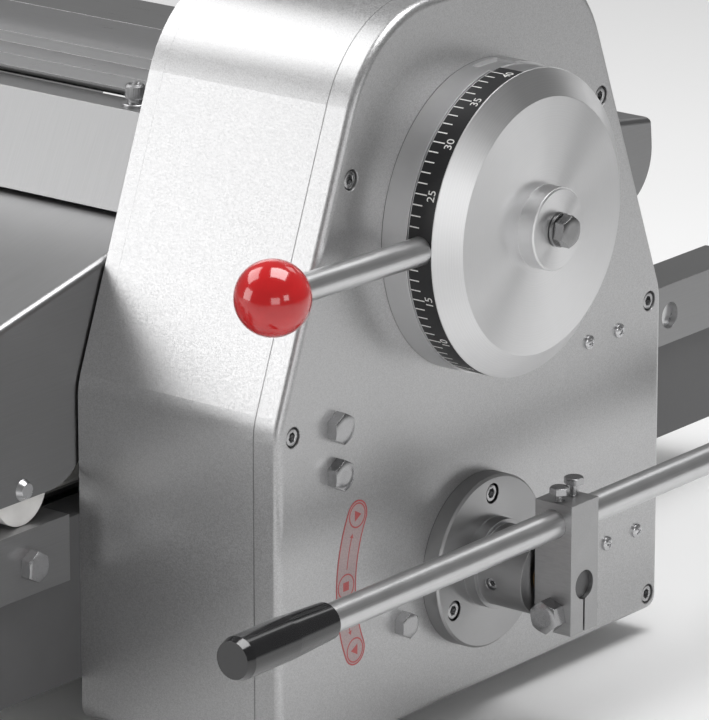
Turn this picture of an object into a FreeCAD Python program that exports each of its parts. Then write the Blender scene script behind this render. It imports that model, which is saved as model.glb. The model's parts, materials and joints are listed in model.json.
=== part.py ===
"""Table-top reversible dough sheeter.

A head of two housings carries a pair of rollers.  A graduated dial on the front housing sets the
gap between them through a cross shaft, pinions and racks.  A long lever below the dial reverses
the drive.  A belt table stands on each side of the head, and a hinged guard covers each mouth.

Frame: +X to the right along the belts, +Y from the front to the back, +Z up, millimetres.  The
origin is under the middle of the whole machine, on the surface it stands on.
"""
import FreeCAD, Part
import math
import os
import Sketcher
from types import SimpleNamespace

Vector = FreeCAD.Vector
Rotation = FreeCAD.Rotation

# Driving dimensions, millimetres and degrees.  Heights are above the lower edge of the head
# unless the name says otherwise.
SIZES = {
    # Head: side plates, wrap-around covers, inner frame plates and the space between them
    "foot_height": 18.0,
    "foot_radius": 20.0,
    "foot_spread": 150.0,
    "foot_inset": 38.0,
    "plate_width": 424.0,
    "plate_height": 491.0,
    "plate_thick": 21.0,
    "kink_height": 234.0,
    "side_lean": 21.0,
    "shoulder_radius": 90.0,
    "kink_radius": 45.0,
    "corner_radius": 10.0,
    "edge_round": 5.0,
    "cover_depth": 137.0,
    "cover_wall": 3.0,
    "frame_thick": 12.0,
    "work_width": 520.0,
    # Clearances: pressed or bolted pieces, running fits, sliding faces and turning faces
    "seat_gap": 0.02,
    "running_gap": 0.05,
    "slide_gap": 0.1,
    "turning_gap": 0.3,
    # Fasteners in the side plates
    "cap_head_radius": 7.0,
    "cap_head_length": 8.0,
    "cap_stud_radius": 4.0,
    "cap_socket_flats": 6.0,
    "cap_upper_spread": 137.0,
    "cap_upper_height": 387.0,
    "cap_middle_spread": 197.0,
    "cap_middle_height": 228.0,
    "cap_lower_spread": 200.0,
    "cap_lower_height": 12.0,
    "pan_head_radius": 5.0,
    "pan_head_length": 3.2,
    "pan_stud_radius": 2.5,
    "pan_stud_length": 9.0,
    "pan_upper_place": 126.0,
    "pan_lower_place": 150.0,
    "pan_pitch": 35.0,
    "pan_upper_height": 215.0,
    "pan_lower_height": 63.0,
    "hex_flats": 19.0,
    "hex_head_length": 8.0,
    "hex_stud_radius": 6.0,
    "hex_stud_length": 14.0,
    "hex_pair_place": 152.0,
    "hex_pair_height": 192.0,
    "hex_pair_pitch": 32.0,
    "hex_single_place": 82.0,
    "hex_single_height": 69.0,
    # Dial that sets the gap
    "dial_height": 335.0,
    "ring_radius": 105.0,
    "ring_depth": 20.0,
    "ring_wall": 8.0,
    "rim_radius": 103.9,
    "rim_width": 20.0,
    "rim_wall": 12.0,
    "web_recess": 9.0,
    "bevel_depth": 12.5,
    "face_radius": 86.8,
    "band_thick": 0.7,
    "band_margin": 0.6,
    "band_start": 93.0,
    "band_angle": 169.0,
    "index_width": 27.0,
    "index_shift": 1.5,
    "index_length": 15.0,
    "index_cut": 3.0,
    "boss_radius": 28.0,
    "boss_height": 13.0,
    "boss_chamfer": 1.0,
    "dial_washer_radius": 12.0,
    "dial_washer_thick": 3.0,
    "dial_stud_length": 22.0,
    "handle_radius": 9.5,
    "handle_depth": 14.0,
    "handle_reach": 254.6,
    "handle_tilt": 1.3,
    "ball_radius": 25.0,
    "ball_hole_depth": 20.0,
    "shaft_radius": 10.0,
    "bush_wall": 4.0,
    # Rollers and the gap mechanism
    "roller_radius": 44.0,
    "roller_height": 112.0,
    "roller_end_gap": 1.5,
    "gap_open": 40.0,
    "gap_travel": 39.0,
    "journal_radius": 15.0,
    "bearing_radius": 31.0,
    "journal_slot_room": 3.0,
    "tooth_pitch": 5.0,
    "tooth_count": 18,
    "tooth_backlash": 0.4,
    "rack_back": 34.0,
    "rack_width": 20.0,
    "rack_offset": 5.0,
    "rack_spare": 17.0,
    "carriage_half": 42.0,
    "carriage_thick": 30.0,
    "carriage_below": 40.0,
    "carriage_above": 66.0,
    "guide_width": 20.0,
    "guide_lip": 8.0,
    "guide_lip_thick": 7.0,
    "guide_spare": 4.0,
    "scraper_rise": 54.0,
    "scraper_bar_radius": 6.0,
    "scraper_tip_gap": 1.0,
    "scraper_thick": 3.0,
    "apron_thick": 2.5,
    "apron_gap": 1.0,
    # Drive in the rear housing and belt drive in the front housing
    "sprocket_radius": 28.0,
    "sprocket_width": 8.0,
    "sprocket_plane": 42.0,
    "chain_gap": 0.3,
    "chain_thick": 4.0,
    "motor_place": 120.0,
    "motor_height": 76.0,
    "motor_radius": 54.0,
    "motor_length": 72.0,
    "motor_shaft_radius": 9.0,
    "motor_flange_radius": 64.0,
    "motor_flange_thick": 8.0,
    "shoe_spread": 105.0,
    "shoe_height": 305.0,
    "shoe_radius": 20.0,
    "belt_sprocket_radius": 27.0,
    "drum_sprocket_radius": 16.0,
    "belt_sprocket_width": 6.0,
    "belt_chain_plane": 12.0,
    "belt_chain_pitch": 12.0,
    # Reversing lever
    "lever_height": 93.5,
    "flange_radius": 60.0,
    "flange_thick": 13.0,
    "flange_chamfer": 1.5,
    "collar_radius": 31.0,
    "collar_end": 22.0,
    "hub_radius": 28.0,
    "hub_gap": 2.0,
    "flange_screw_circle": 48.0,
    "hub_screw_radius": 4.5,
    "hub_screw_length": 10.0,
    "hub_screw_place": 33.0,
    "hub_screw_tilt": 10.0,
    "hub_screw_sink": 1.5,
    "lever_shaft_inside": 44.0,
    "shaft_recess": 3.0,
    "rod_reach": 75.0,
    "rod_rise": 43.0,
    "rod_radius": 10.0,
    "block_width": 30.0,
    "block_depth": 30.0,
    "block_below": 33.0,
    "block_above": 58.0,
    "slit_width": 2.0,
    "clamp_drop": 20.0,
    "clamp_radius": 6.0,
    "set_bolt_spread": 7.5,
    "set_bolt_flats": 10.0,
    "set_bolt_head": 6.0,
    "set_bolt_radius": 3.0,
    "set_bolt_stand": 5.0,
    "grip_start": 258.0,
    "grip_end": 351.0,
    "grip_neck": 12.5,
    "grip_radius": 14.5,
    "grip_cap": 6.0,
    "cam_half": 38.0,
    "cam_thick": 10.0,
    "cam_arm": 14.0,
    "cam_hub_radius": 16.0,
    "cam_offset": 14.0,
    "switch_width": 22.0,
    "switch_depth": 28.0,
    "switch_tall": 34.0,
    "switch_place": 23.0,
    "switch_rise": 22.0,
    # Belt tables
    "rail_top": 150.0,
    "rail_tall": 46.0,
    "rail_thick": 5.0,
    "rail_flange": 40.0,
    "rail_start": 228.0,
    "rail_bolt_place": 267.0,
    "rail_bolt_height": 125.0,
    "rail_hole_radius": 10.0,
    "beam_start": 150.0,
    "beam_bottom": 30.0,
    "beam_thick": 30.0,
    "beam_wall": 3.0,
    "table_reach": 560.0,
    "belt_rise": 2.0,
    "belt_thick": 2.0,
    "belt_margin": 8.0,
    "drum_radius": 24.0,
    "drum_margin": 6.0,
    "drum_journal": 8.0,
    "drum_bearing": 17.0,
    "drive_drum_place": 100.0,
    "tail_drum_inset": 103.0,
    "bed_thick": 3.0,
    "bed_margin": 30.0,
    "cross_bar_radius": 12.0,
    "cross_bar_height": 62.0,
    "head_bar_place": 134.0,
    "near_bar_place": 290.0,
    "far_bar_inset": 30.0,
    # Sheet covers above the rollers, held down by thumb screws
    "cover_sheet": 1.5,
    "cover_flange_inner": 75.0,
    "cover_flange_outer": 100.0,
    "cover_flange_height": 390.0,
    "cover_lean": 63.0,
    "cover_drop": 61.0,
    "cover_bar": 16.0,
    "thumb_radius": 8.5,
    "thumb_length": 18.0,
    "thumb_washer_radius": 11.0,
    "thumb_washer_thick": 2.0,
    "thumb_stud_radius": 3.0,
    "thumb_stud_length": 12.0,
    "thumb_place": 86.0,
    "thumb_inset": 55.0,
    # Hinged guards over the belts
    "guard_wall": 1.5,
    "guard_gap": 1.5,
    "guard_pivot_place": 133.0,
    "guard_pivot_height": 311.0,
    "guard_pin_radius": 6.0,
    "guard_pin_length": 8.0,
    "guard_inner": 118.0,
    "guard_fold_place": 133.0,
    "guard_fold_height": 325.0,
    "guard_slope": 13.0,
    "guard_reach": 434.0,
    "guard_end_depth": 45.0,
    "guard_skirt_height": 168.0,
    "guard_skirt_outer": 350.0,
    "guard_skirt_inner": 217.0,
    "guard_neck_place": 150.0,
    "guard_neck_height": 288.0,
    "guard_neck_inner": 296.0,
    "guard_skirt_round": 38.0,
    "guard_outer_round": 20.0,
    "guard_end_round": 40.0,
    "guard_edge_round": 5.0,
    "left_guard_lift": 0.0,
    "right_guard_lift": 5.0,
    "wheel_place": 266.0,
    "wheel_radius": 25.0,
    "wheel_width": 10.0,
    "wheel_screw_radius": 5.0,
    "wheel_screw_head": 7.5,
    "wheel_screw_head_length": 4.0,
    # Top bridge between the housings
    "bridge_wall": 2.0,
    "bridge_low": 396.0,
    "bridge_step": 404.5,
    "bridge_top": 427.0,
    "bridge_low_half": 74.0,
    "bridge_step_half": 50.0,
    "bridge_top_half": 28.0,
}

DOC = FreeCAD.newDocument("dough_sheeter")
NODES = []
FRONT = -1
REAR = 1
LEFT = -1
RIGHT = 1
UPRIGHT = Rotation()
TO_FRONT = Rotation(Vector(1, 0, 0), 90)
TO_REAR = Rotation(Vector(1, 0, 0), -90)
TO_RIGHT = Rotation(Vector(0, 1, 0), 90)
TO_LEFT = Rotation(Vector(0, 1, 0), -90)
HALF_TURN = Rotation(Vector(0, 0, 1), 180)
PRESSURE_ANGLE = math.radians(20)
FLANK_STEPS = 5


class Measure:
    """A length or angle that keeps its number and the formula that ties it to the sheet."""

    def __init__(self, value, text):
        self.value = value
        self.text = text

    def __add__(self, other):
        other = measure(other)
        return Measure(self.value + other.value, f"({self.text} + {other.text})")

    def __sub__(self, other):
        other = measure(other)
        return Measure(self.value - other.value, f"({self.text} - {other.text})")

    def __mul__(self, other):
        other = measure(other)
        return Measure(self.value * other.value, f"({self.text} * {other.text})")

    def __truediv__(self, other):
        other = measure(other)
        return Measure(self.value / other.value, f"({self.text} / {other.text})")

    def __neg__(self):
        return measure(0) - self

    def __rsub__(self, other):
        return measure(other) - self

    __radd__ = __add__
    __rmul__ = __mul__


def measure(item):
    """A plain number as a Measure; a Measure stays as it is."""
    if isinstance(item, Measure):
        return item
    return Measure(float(item), str(item))


def sine(angle):
    return Measure(math.sin(math.radians(angle.value)), f"sin({angle.text})")


def cosine(angle):
    return Measure(math.cos(math.radians(angle.value)), f"cos({angle.text})")


def tangent(angle):
    return Measure(math.tan(math.radians(angle.value)), f"tan({angle.text})")


def root(item):
    return Measure(math.sqrt(item.value), f"sqrt({item.text})")


def fill_sheet():
    """Write the driving dimensions into the sheet and return them as Measures."""
    sheet = DOC.addObject("Spreadsheet::Sheet", "sizes")
    for row, (alias, number) in enumerate(SIZES.items(), start=1):
        sheet.set(f"A{row}", alias)
        sheet.set(f"B{row}", str(number))
        sheet.setAlias(f"B{row}", alias)
    DOC.recompute()
    return SimpleNamespace(**{alias: Measure(float(sheet.get(alias)), f"sizes.{alias}")
                              for alias in SIZES})


size = fill_sheet()

# Places that several pieces share
lever_stand = size.rod_reach + size.block_depth / 2
mid_y = lever_stand / 2
half_width = size.work_width / 2
housing = size.frame_thick + size.cover_depth + size.plate_thick
face_y = mid_y - half_width - housing
upper_roller_height = size.roller_height + 2 * size.roller_radius + size.gap_open
drum_height = (size.rail_top + size.belt_rise - size.belt_thick - size.turning_gap
               - size.drum_radius)
tail_drum_place = size.table_reach - size.tail_drum_inset
far_bar_place = size.table_reach - size.far_bar_inset
bush_radius = size.shaft_radius + size.bush_wall
dial_back = size.ring_depth + size.turning_gap
dial_face = dial_back + size.rim_width + size.bevel_depth
boss_face = dial_face + size.boss_height
pitch_radius = size.tooth_pitch * size.tooth_count / (2 * math.pi)
wheel_height = size.rail_top + size.wheel_radius + size.turning_gap


def level(height):
    """Height above the surface that the machine stands on."""
    return size.foot_height + height


def depth(side, offset):
    """Y of a plane that lies offset outside the inner face of one side's frame plate."""
    return mid_y + side * (half_width + offset)


def span(side, near, far):
    """Lowest Y and length of a piece between two offsets on one side."""
    low = depth(side, far if side == FRONT else near)
    return low, measure(far) - near


def bind(thing, **formulas):
    for name, formula in formulas.items():
        thing.setExpression(name, measure(formula).text)


def place(thing, x=0, y=0, z=0, turn=UPRIGHT):
    thing.Placement = FreeCAD.Placement(Vector(), turn)
    for axis, formula in zip("xyz", (x, y, z)):
        thing.setExpression(f"Placement.Base.{axis}", measure(formula).text)
    return thing


def keep(thing, node):
    """Name a finished sub-part."""
    thing.Label = node
    NODES.append(thing)
    return thing


def cylinder(name, radius, length, x=0, y=0, z=0, turn=UPRIGHT):
    thing = DOC.addObject("Part::Cylinder", name)
    bind(thing, Radius=radius, Height=length)
    return place(thing, x, y, z, turn)


def box(name, low, extent):
    thing = DOC.addObject("Part::Box", name)
    bind(thing, Length=extent[0], Width=extent[1], Height=extent[2])
    return place(thing, *low)


def hexagon(name, flats, length, x=0, y=0, z=0, turn=UPRIGHT):
    thing = DOC.addObject("Part::Prism", name)
    thing.Polygon = 6
    bind(thing, Circumradius=measure(flats) / math.sqrt(3), Height=length)
    return place(thing, x, y, z, turn)


def group(name, members):
    thing = DOC.addObject("Part::Compound", name)
    thing.Links = members
    return thing


def fuse(name, members):
    thing = DOC.addObject("Part::MultiFuse", name)
    thing.Shapes = members
    return thing


def cut(name, base, tools):
    thing = DOC.addObject("Part::Cut", name)
    thing.Base = base
    thing.Tool = tools[0] if len(tools) == 1 else group(name + "_tools", tools)
    return thing


def copies(name, original, places, turn=UPRIGHT):
    """Linked copies of one piece, each at its own place."""
    links = []
    for number, (x, y, z) in enumerate(places, start=1):
        link = DOC.addObject("App::Link", f"{name}_{number}")
        link.LinkedObject = original
        links.append(place(link, x, y, z, turn))
    return links


def draw(body, loops, plane):
    """Sketch closed outlines on one of the body's own planes, every corner bound to the sheet."""
    sketch = body.newObject("Sketcher::SketchObject", body.Name + "_outline")
    support = next(item for item in body.Origin.OriginFeatures if item.Role == plane)
    sketch.AttachmentSupport = (support, [""])
    sketch.MapMode = "FlatFace"
    for loop in loops:
        corners = [(measure(x), measure(y)) for x, y in loop]
        first = sketch.GeometryCount
        for number, (x, y) in enumerate(corners):
            next_x, next_y = corners[(number + 1) % len(corners)]
            sketch.addGeometry(Part.LineSegment(Vector(x.value, y.value, 0),
                                                Vector(next_x.value, next_y.value, 0)), False)
        for number, (x, y) in enumerate(corners):
            line = first + number
            following = first + (number + 1) % len(corners)
            sketch.addConstraint(Sketcher.Constraint("Coincident", line, 2, following, 1))
            pin_corner(sketch, line, "DistanceX", x, -2)
            pin_corner(sketch, line, "DistanceY", y, -1)
    return sketch


def pin_corner(sketch, line, kind, formula, axis):
    """Hold one coordinate of a line's first point, on the axis itself where it is zero."""
    if formula.text == "0":
        sketch.addConstraint(Sketcher.Constraint("PointOnObject", line, 1, axis))
        return
    number = sketch.addConstraint(Sketcher.Constraint(kind, -1, 1, line, 1, formula.value))
    sketch.setExpression(f"Constraints[{number}]", formula.text)


def extruded(name, loops, length, plane="XZ_Plane"):
    """Body whose outlines run from its own origin towards +Y, +Z or +X."""
    body = DOC.addObject("PartDesign::Body", name)
    pad = body.newObject("PartDesign::Pad", name + "_pad")
    pad.Profile = draw(body, loops, plane)
    pad.Reversed = plane == "XZ_Plane"
    bind(pad, Length=length)
    body.Tip = pad
    return body


def turned(name, profile, x=0, y=0, z=0, turn=UPRIGHT, angle=360):
    """Body turned about its own Z axis from (radius, height) corners."""
    body = DOC.addObject("PartDesign::Body", name)
    sketch = draw(body, [profile], "XZ_Plane")
    spin = body.newObject("PartDesign::Revolution", name + "_turn")
    spin.Profile = sketch
    spin.ReferenceAxis = (sketch, ["V_Axis"])
    bind(spin, Angle=angle)
    body.Tip = spin
    return place(body, x, y, z, turn)


def ring(inner, outer, low, high):
    """Profile of a plain ring."""
    return [(inner, low), (outer, low), (outer, high), (inner, high)]


def rounded(body, radius, chosen):
    """Round the edges of a body for which chosen(edge) is true."""
    DOC.recompute()
    base = body.Tip
    names = [f"Edge{number}" for number, edge in enumerate(base.Shape.Edges, start=1)
             if chosen(edge)]
    fillet = body.newObject("PartDesign::Fillet", body.Name + "_round")
    fillet.Base = (base, names)
    bind(fillet, Radius=radius)
    body.Tip = fillet


def along_y_at(corners):
    """Test for straight edges along Y through any of the (x, z) corners."""
    points = [(measure(x).value, measure(z).value) for x, z in corners]

    def chosen(edge):
        start, end = edge.Vertexes[0].Point, edge.Vertexes[-1].Point
        if abs(start.y - end.y) < 1e-3:
            return False
        return any(abs(start.x - x) + abs(start.z - z) + abs(end.x - x) + abs(end.z - z) < 1e-3
                   for x, z in points)
    return chosen


def solid_feature(name, shape, x=0, y=0, z=0):
    """Sub-part whose outline is worked out by a formula."""
    thing = DOC.addObject("Part::Feature", name)
    thing.Shape = shape
    return place(thing, x, y, z)


# Head


def head_corners(inset):
    """Outline of the head, moved inwards by inset: upright sides, leaning sides and a flat top."""
    lean = size.side_lean
    inset = measure(inset)
    half = size.plate_width / 2 - inset
    top = size.plate_height - inset
    kink = size.kink_height - inset * tangent(lean / 2)
    shoulder = (size.plate_width / 2 - inset / cosine(lean)
                - (top - size.kink_height) * tangent(lean))
    right = [(shoulder, top), (half, kink), (half, inset)]
    left = [(-x, z) for x, z in reversed(right)]
    return left + right


def round_head(body, inset):
    """Bend radii of the head's outline: shoulders, kinks and lower corners."""
    low_left, kink_left, top_left, top_right, kink_right, low_right = head_corners(inset)
    for radius, corners in ((size.shoulder_radius, (top_left, top_right)),
                            (size.kink_radius, (kink_left, kink_right)),
                            (size.corner_radius, (low_left, low_right))):
        rounded(body, radius - inset, along_y_at(corners))


def cap_screw_places():
    """X and Z of the six cap screws in a side plate."""
    rows = ((size.cap_upper_spread, size.cap_upper_height),
            (size.cap_middle_spread, size.cap_middle_height),
            (size.cap_lower_spread, size.cap_lower_height))
    return [(side * spread, height) for spread, height in rows for side in (LEFT, RIGHT)]


def pan_screw_places():
    return [(place_x + step * size.pan_pitch, height)
            for place_x, height in ((size.pan_upper_place, size.pan_upper_height),
                                    (size.pan_lower_place, size.pan_lower_height))
            for step in (0, 1)]


def hex_bolt_places():
    return [(-size.hex_pair_place, size.hex_pair_height),
            (-size.hex_pair_place, size.hex_pair_height + size.hex_pair_pitch),
            (-size.hex_single_place, size.hex_single_height)]


def side_plate_tools(name, side):
    """Counterbored screw holes of a side plate, from its outer face inwards."""
    outer = depth(side, housing)
    turn = TO_REAR if side == FRONT else TO_FRONT
    tools = []
    for number, (x, z) in enumerate(cap_screw_places(), start=1):
        tools.append(cylinder(f"{name}_recess_{number}", size.cap_head_radius + size.slide_gap,
                              size.cap_head_length, x, outer, level(z), turn))
        tools.append(cylinder(f"{name}_hole_{number}", size.cap_stud_radius + size.running_gap,
                              size.plate_thick, x, outer, level(z), turn))
    return tools


def side_plates():
    """Heavy front and rear plates with softened outer edges."""
    for side, node in ((FRONT, "front_side_plate"), (REAR, "rear_side_plate")):
        low, thick = span(side, housing - size.plate_thick, housing)
        body = extruded(node + "_blank", [head_corners(0)], thick)
        place(body, 0, low, size.foot_height)
        round_head(body, measure(0))
        outer = 0.0 if side == FRONT else size.plate_thick.value
        rounded(body, size.edge_round,
                lambda edge: all(abs(v.Y - outer) < 1e-3 for v in edge.Vertexes)
                and abs(edge.BoundBox.YLength) < 1e-3)
        tools = side_plate_tools(node, side)
        if side == FRONT:
            tools += front_plate_tools(node)
        keep(cut(node, body, tools), node)


def front_plate_tools(name):
    """Holes for the dial shaft's bush, the lever shaft and the small fasteners."""
    tools = [cylinder(name + "_dial_bore", bush_radius + size.seat_gap, size.plate_thick,
                      0, face_y, level(size.dial_height), TO_REAR),
             cylinder(name + "_lever_bore", bush_radius + size.seat_gap, size.plate_thick,
                      0, face_y, level(size.lever_height), TO_REAR)]
    for number, (x, z) in enumerate(pan_screw_places(), start=1):
        tools.append(cylinder(f"{name}_pan_{number}", size.pan_stud_radius + size.running_gap,
                              size.pan_stud_length, x, face_y, level(z), TO_REAR))
    for number, (x, z) in enumerate(hex_bolt_places(), start=1):
        tools.append(cylinder(f"{name}_hex_{number}", size.hex_stud_radius + size.running_gap,
                              size.hex_stud_length, x, face_y, level(z), TO_REAR))
    return tools


def cover_shells():
    """Bent covers that wrap each housing between its side plate and its frame plate."""
    shells = []
    for side, name in ((FRONT, "front_cover"), (REAR, "rear_cover")):
        low, deep = span(side, size.frame_thick, size.frame_thick + size.cover_depth)
        body = extruded(name, [head_corners(0), head_corners(size.cover_wall)], deep)
        place(body, 0, low, size.foot_height)
        round_head(body, measure(0))
        round_head(body, size.cover_wall)
        shells.append(body)
    keep(group("cover_shells", shells), "cover_shells")


def frame_plates():
    """Inner plates that carry the rollers, the shafts and the guards."""
    plates = []
    slot_half = size.journal_radius + size.journal_slot_room
    slot_low = upper_roller_height - size.gap_travel - slot_half
    slot_high = (upper_roller_height + size.scraper_rise + size.scraper_bar_radius
                 + size.journal_slot_room)
    for side, name in ((FRONT, "front_frame"), (REAR, "rear_frame")):
        low, thick = span(side, 0, size.frame_thick)
        body = extruded(name + "_blank", [head_corners(0)], thick)
        place(body, 0, low, size.foot_height)
        round_head(body, measure(0))
        bores = [("roller", 0, size.roller_height, size.bearing_radius),
                 ("dial", 0, size.dial_height, bush_radius)]
        for hand, word in ((LEFT, "left"), (RIGHT, "right")):
            bores.append((word + "_drum", hand * size.drive_drum_place, drum_height,
                          size.drum_bearing))
            bores.append((word + "_pin", hand * size.guard_pivot_place, size.guard_pivot_height,
                          size.guard_pin_radius))
        tools = [cylinder(f"{name}_{word}_bore", radius + size.seat_gap, thick,
                          x, low, level(height), TO_REAR)
                 for word, x, height, radius in bores]
        tools.append(box(name + "_slot", (-slot_half, low, level(slot_low)),
                         (2 * slot_half, thick, slot_high - slot_low)))
        plates.append(cut(name, body, tools))
    keep(group("frame_plates", plates), "frame_plates")


def feet():
    """Rubber feet under both housings, waisted towards the top."""
    waist = size.foot_radius * 0.8
    shoulder = size.foot_height * 0.35
    foot = turned("foot", [(0, 0), (size.foot_radius, 0), (size.foot_radius, shoulder),
                           (waist, size.foot_height), (0, size.foot_height)])
    offset = size.frame_thick + size.foot_inset
    places = [(hand * size.foot_spread, depth(side, offset), measure(0))
              for side in (FRONT, REAR) for hand in (LEFT, RIGHT)]
    keep(group("rubber_feet", copies("foot_copy", foot, places)), "rubber_feet")


def cap_screw(name, length):
    """Socket cap screw, head face at its own origin, pointing down."""
    head = cylinder(name + "_head", size.cap_head_radius, size.cap_head_length,
                    0, 0, -size.cap_head_length)
    stud = cylinder(name + "_stud", size.cap_stud_radius, length, 0, 0, -length)
    socket = hexagon(name + "_socket", size.cap_socket_flats, size.cap_head_length / 2,
                     0, 0, -size.cap_head_length / 2)
    return cut(name, fuse(name + "_blank", [head, stud]), [socket])


def cap_screws():
    """Screws of both side plates and of the lever's flange and hub."""
    plate_screw = cap_screw("plate_screw", size.plate_thick)
    flange_screw = cap_screw("flange_screw", size.flange_thick)
    links = []
    for side, turn in ((FRONT, TO_FRONT), (REAR, TO_REAR)):
        outer = depth(side, housing)
        places = [(x, outer, level(z)) for x, z in cap_screw_places()]
        word = "front" if side == FRONT else "rear"
        links += copies(f"{word}_plate_screw", plate_screw, places, turn)
    places = [(x, face_y - size.flange_thick, z) for x, z in flange_screw_places()]
    links += copies("lever_flange_screw", flange_screw, places, TO_FRONT)
    screw_end = size.hub_radius - size.hub_screw_sink
    grub = hub_screw("hub_screw_blank", screw_end - size.hub_screw_length, size.hub_screw_length,
                     size.hub_screw_radius)
    socket = hub_screw("hub_screw_socket", screw_end - size.hub_screw_length / 2,
                       size.hub_screw_length / 2, size.hub_screw_radius / 2)
    links.append(cut("hub_screw", grub, [socket]))
    keep(group("cap_screws", links), "cap_screws")


def pan_screws():
    """Round-headed screws low on the right of the front plate."""
    radius = size.pan_head_radius
    crown = size.pan_head_length
    stud = size.pan_stud_radius
    screw = turned("pan_screw", [(0, -size.pan_stud_length), (stud, -size.pan_stud_length),
                                 (stud, 0), (radius, 0), (radius, crown * 0.45),
                                 (radius * 0.72, crown * 0.85), (radius * 0.35, crown),
                                 (0, crown)])
    places = [(x, face_y, level(z)) for x, z in pan_screw_places()]
    keep(group("pan_screws", copies("pan_screw_copy", screw, places, TO_FRONT)), "pan_screws")


def hex_bolt(name, flats, head, radius, length):
    """Hexagon bolt, seat at its own origin, head upwards."""
    cap = hexagon(name + "_head", flats, head)
    stud = cylinder(name + "_stud", radius, length, 0, 0, -length)
    return fuse(name, [cap, stud])


def hex_bolts():
    """Bolts on the front plate and through the outer rails."""
    bolt = hex_bolt("plate_bolt", size.hex_flats, size.hex_head_length, size.hex_stud_radius,
                    size.hex_stud_length)
    rail_bolt = hex_bolt("rail_bolt", size.hex_flats, size.hex_head_length,
                         size.hex_stud_radius, size.rail_thick + size.beam_wall)
    places = [(x, face_y, level(z)) for x, z in hex_bolt_places()]
    links = copies("plate_bolt_copy", bolt, places, TO_FRONT)
    for side, turn in ((FRONT, TO_FRONT), (REAR, TO_REAR)):
        word = "front" if side == FRONT else "rear"
        places = [(hand * size.rail_bolt_place, depth(side, size.rail_thick),
                   level(size.rail_bolt_height)) for hand in (LEFT, RIGHT)]
        links += copies(f"{word}_rail_bolt", rail_bolt, places, turn)
    keep(group("hex_bolts", links), "hex_bolts")


# Dial and gap mechanism


def dial_parts():
    """Fixed ring and the pieces that turn with the dial."""
    centre = level(size.dial_height)
    shaft = size.shaft_radius + size.seat_gap
    ring_blank = turned("ring_blank", [
        (bush_radius, 0), (size.ring_radius, 0), (size.ring_radius, size.ring_depth),
        (size.ring_radius - size.ring_wall, size.ring_depth),
        (size.ring_radius - size.ring_wall, size.ring_wall), (bush_radius, size.ring_wall)],
        0, face_y, centre, TO_FRONT)
    notch = box("index_notch", (-size.index_width / 2 - size.index_shift, face_y - size.ring_depth,
                                centre + size.ring_radius - size.index_cut),
                (size.index_width, size.index_length, size.index_cut))
    keep(cut("dial_ring", ring_blank, [notch]), "dial_ring")

    groove = size.rim_radius - size.band_thick
    band_low = dial_back + size.band_margin
    band_high = dial_back + size.rim_width - size.band_margin
    web = dial_back + size.web_recess
    inside = size.rim_radius - size.rim_wall
    hub_back = size.ring_wall + size.turning_gap
    blank = turned("dial_blank", [
        (shaft, hub_back), (size.boss_radius, hub_back), (size.boss_radius, web), (inside, web),
        (inside, dial_back), (size.rim_radius, dial_back), (size.rim_radius, band_low),
        (groove, band_low), (groove, band_high), (size.rim_radius, band_high),
        (size.rim_radius, dial_back + size.rim_width), (size.face_radius, dial_face),
        (size.boss_radius, dial_face), (size.boss_radius, boss_face - size.boss_chamfer),
        (size.boss_radius - size.boss_chamfer, boss_face), (shaft, boss_face)],
        0, face_y, centre, TO_FRONT)
    rod_start = size.rim_radius - size.handle_depth
    keep(cut("dial_wheel", blank, [handle_bar("handle_hole", rod_start, size.handle_depth + 1,
                                              size.handle_radius + size.seat_gap)]), "dial_wheel")
    band = turned("band_blank", ring(groove + size.seat_gap, size.rim_radius, band_low, band_high),
                  0, face_y, centre,
                  TO_FRONT * Rotation(Vector(0, 0, 1), size.band_start.value), size.band_angle)
    keep(cut("dial_scale_band", band,
             [handle_bar("band_hole", rod_start, size.handle_depth + 1,
                         size.handle_radius + size.seat_gap)]), "dial_scale_band")
    washer = turned("dial_washer", ring(size.hex_stud_radius + size.running_gap,
                                        size.dial_washer_radius, boss_face,
                                        boss_face + size.dial_washer_thick),
                    0, face_y, centre, TO_FRONT)
    bolt = hex_bolt("dial_centre_bolt", size.hex_flats, size.hex_head_length,
                    size.hex_stud_radius, size.dial_stud_length)
    place(bolt, 0, face_y - boss_face - size.dial_washer_thick, centre, TO_FRONT)
    keep(group("dial_bolt", [bolt, washer]), "dial_bolt")

    rod_length = (size.handle_reach - rod_start - size.ball_radius + size.ball_hole_depth
                  - size.turning_gap)
    keep(handle_bar("handle_rod", rod_start, rod_length, size.handle_radius), "handle_rod")
    ball = DOC.addObject("Part::Sphere", "ball")
    bind(ball, Radius=size.ball_radius)
    place(ball, -size.handle_reach * cosine(size.handle_tilt),
          face_y - dial_back - size.rim_width / 2,
          centre + size.handle_reach * sine(size.handle_tilt), HALF_TURN)
    hole_start = size.handle_reach - 2 * size.ball_radius
    hole_length = size.ball_radius + size.ball_hole_depth
    keep(cut("ball_knob", ball, [handle_bar("ball_hole", hole_start, hole_length,
                                            size.handle_radius + size.turning_gap)]), "ball_knob")


def handle_bar(name, start, length, radius):
    """Round bar along the dial's handle, from start outwards, measured from the dial's axis."""
    turn = Rotation(Vector(0, 1, 0), size.handle_tilt.value - 90)
    return cylinder(name, radius, length, -start * cosine(size.handle_tilt),
                    face_y - dial_back - size.rim_width / 2,
                    level(size.dial_height) + start * sine(size.handle_tilt), turn)


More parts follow.
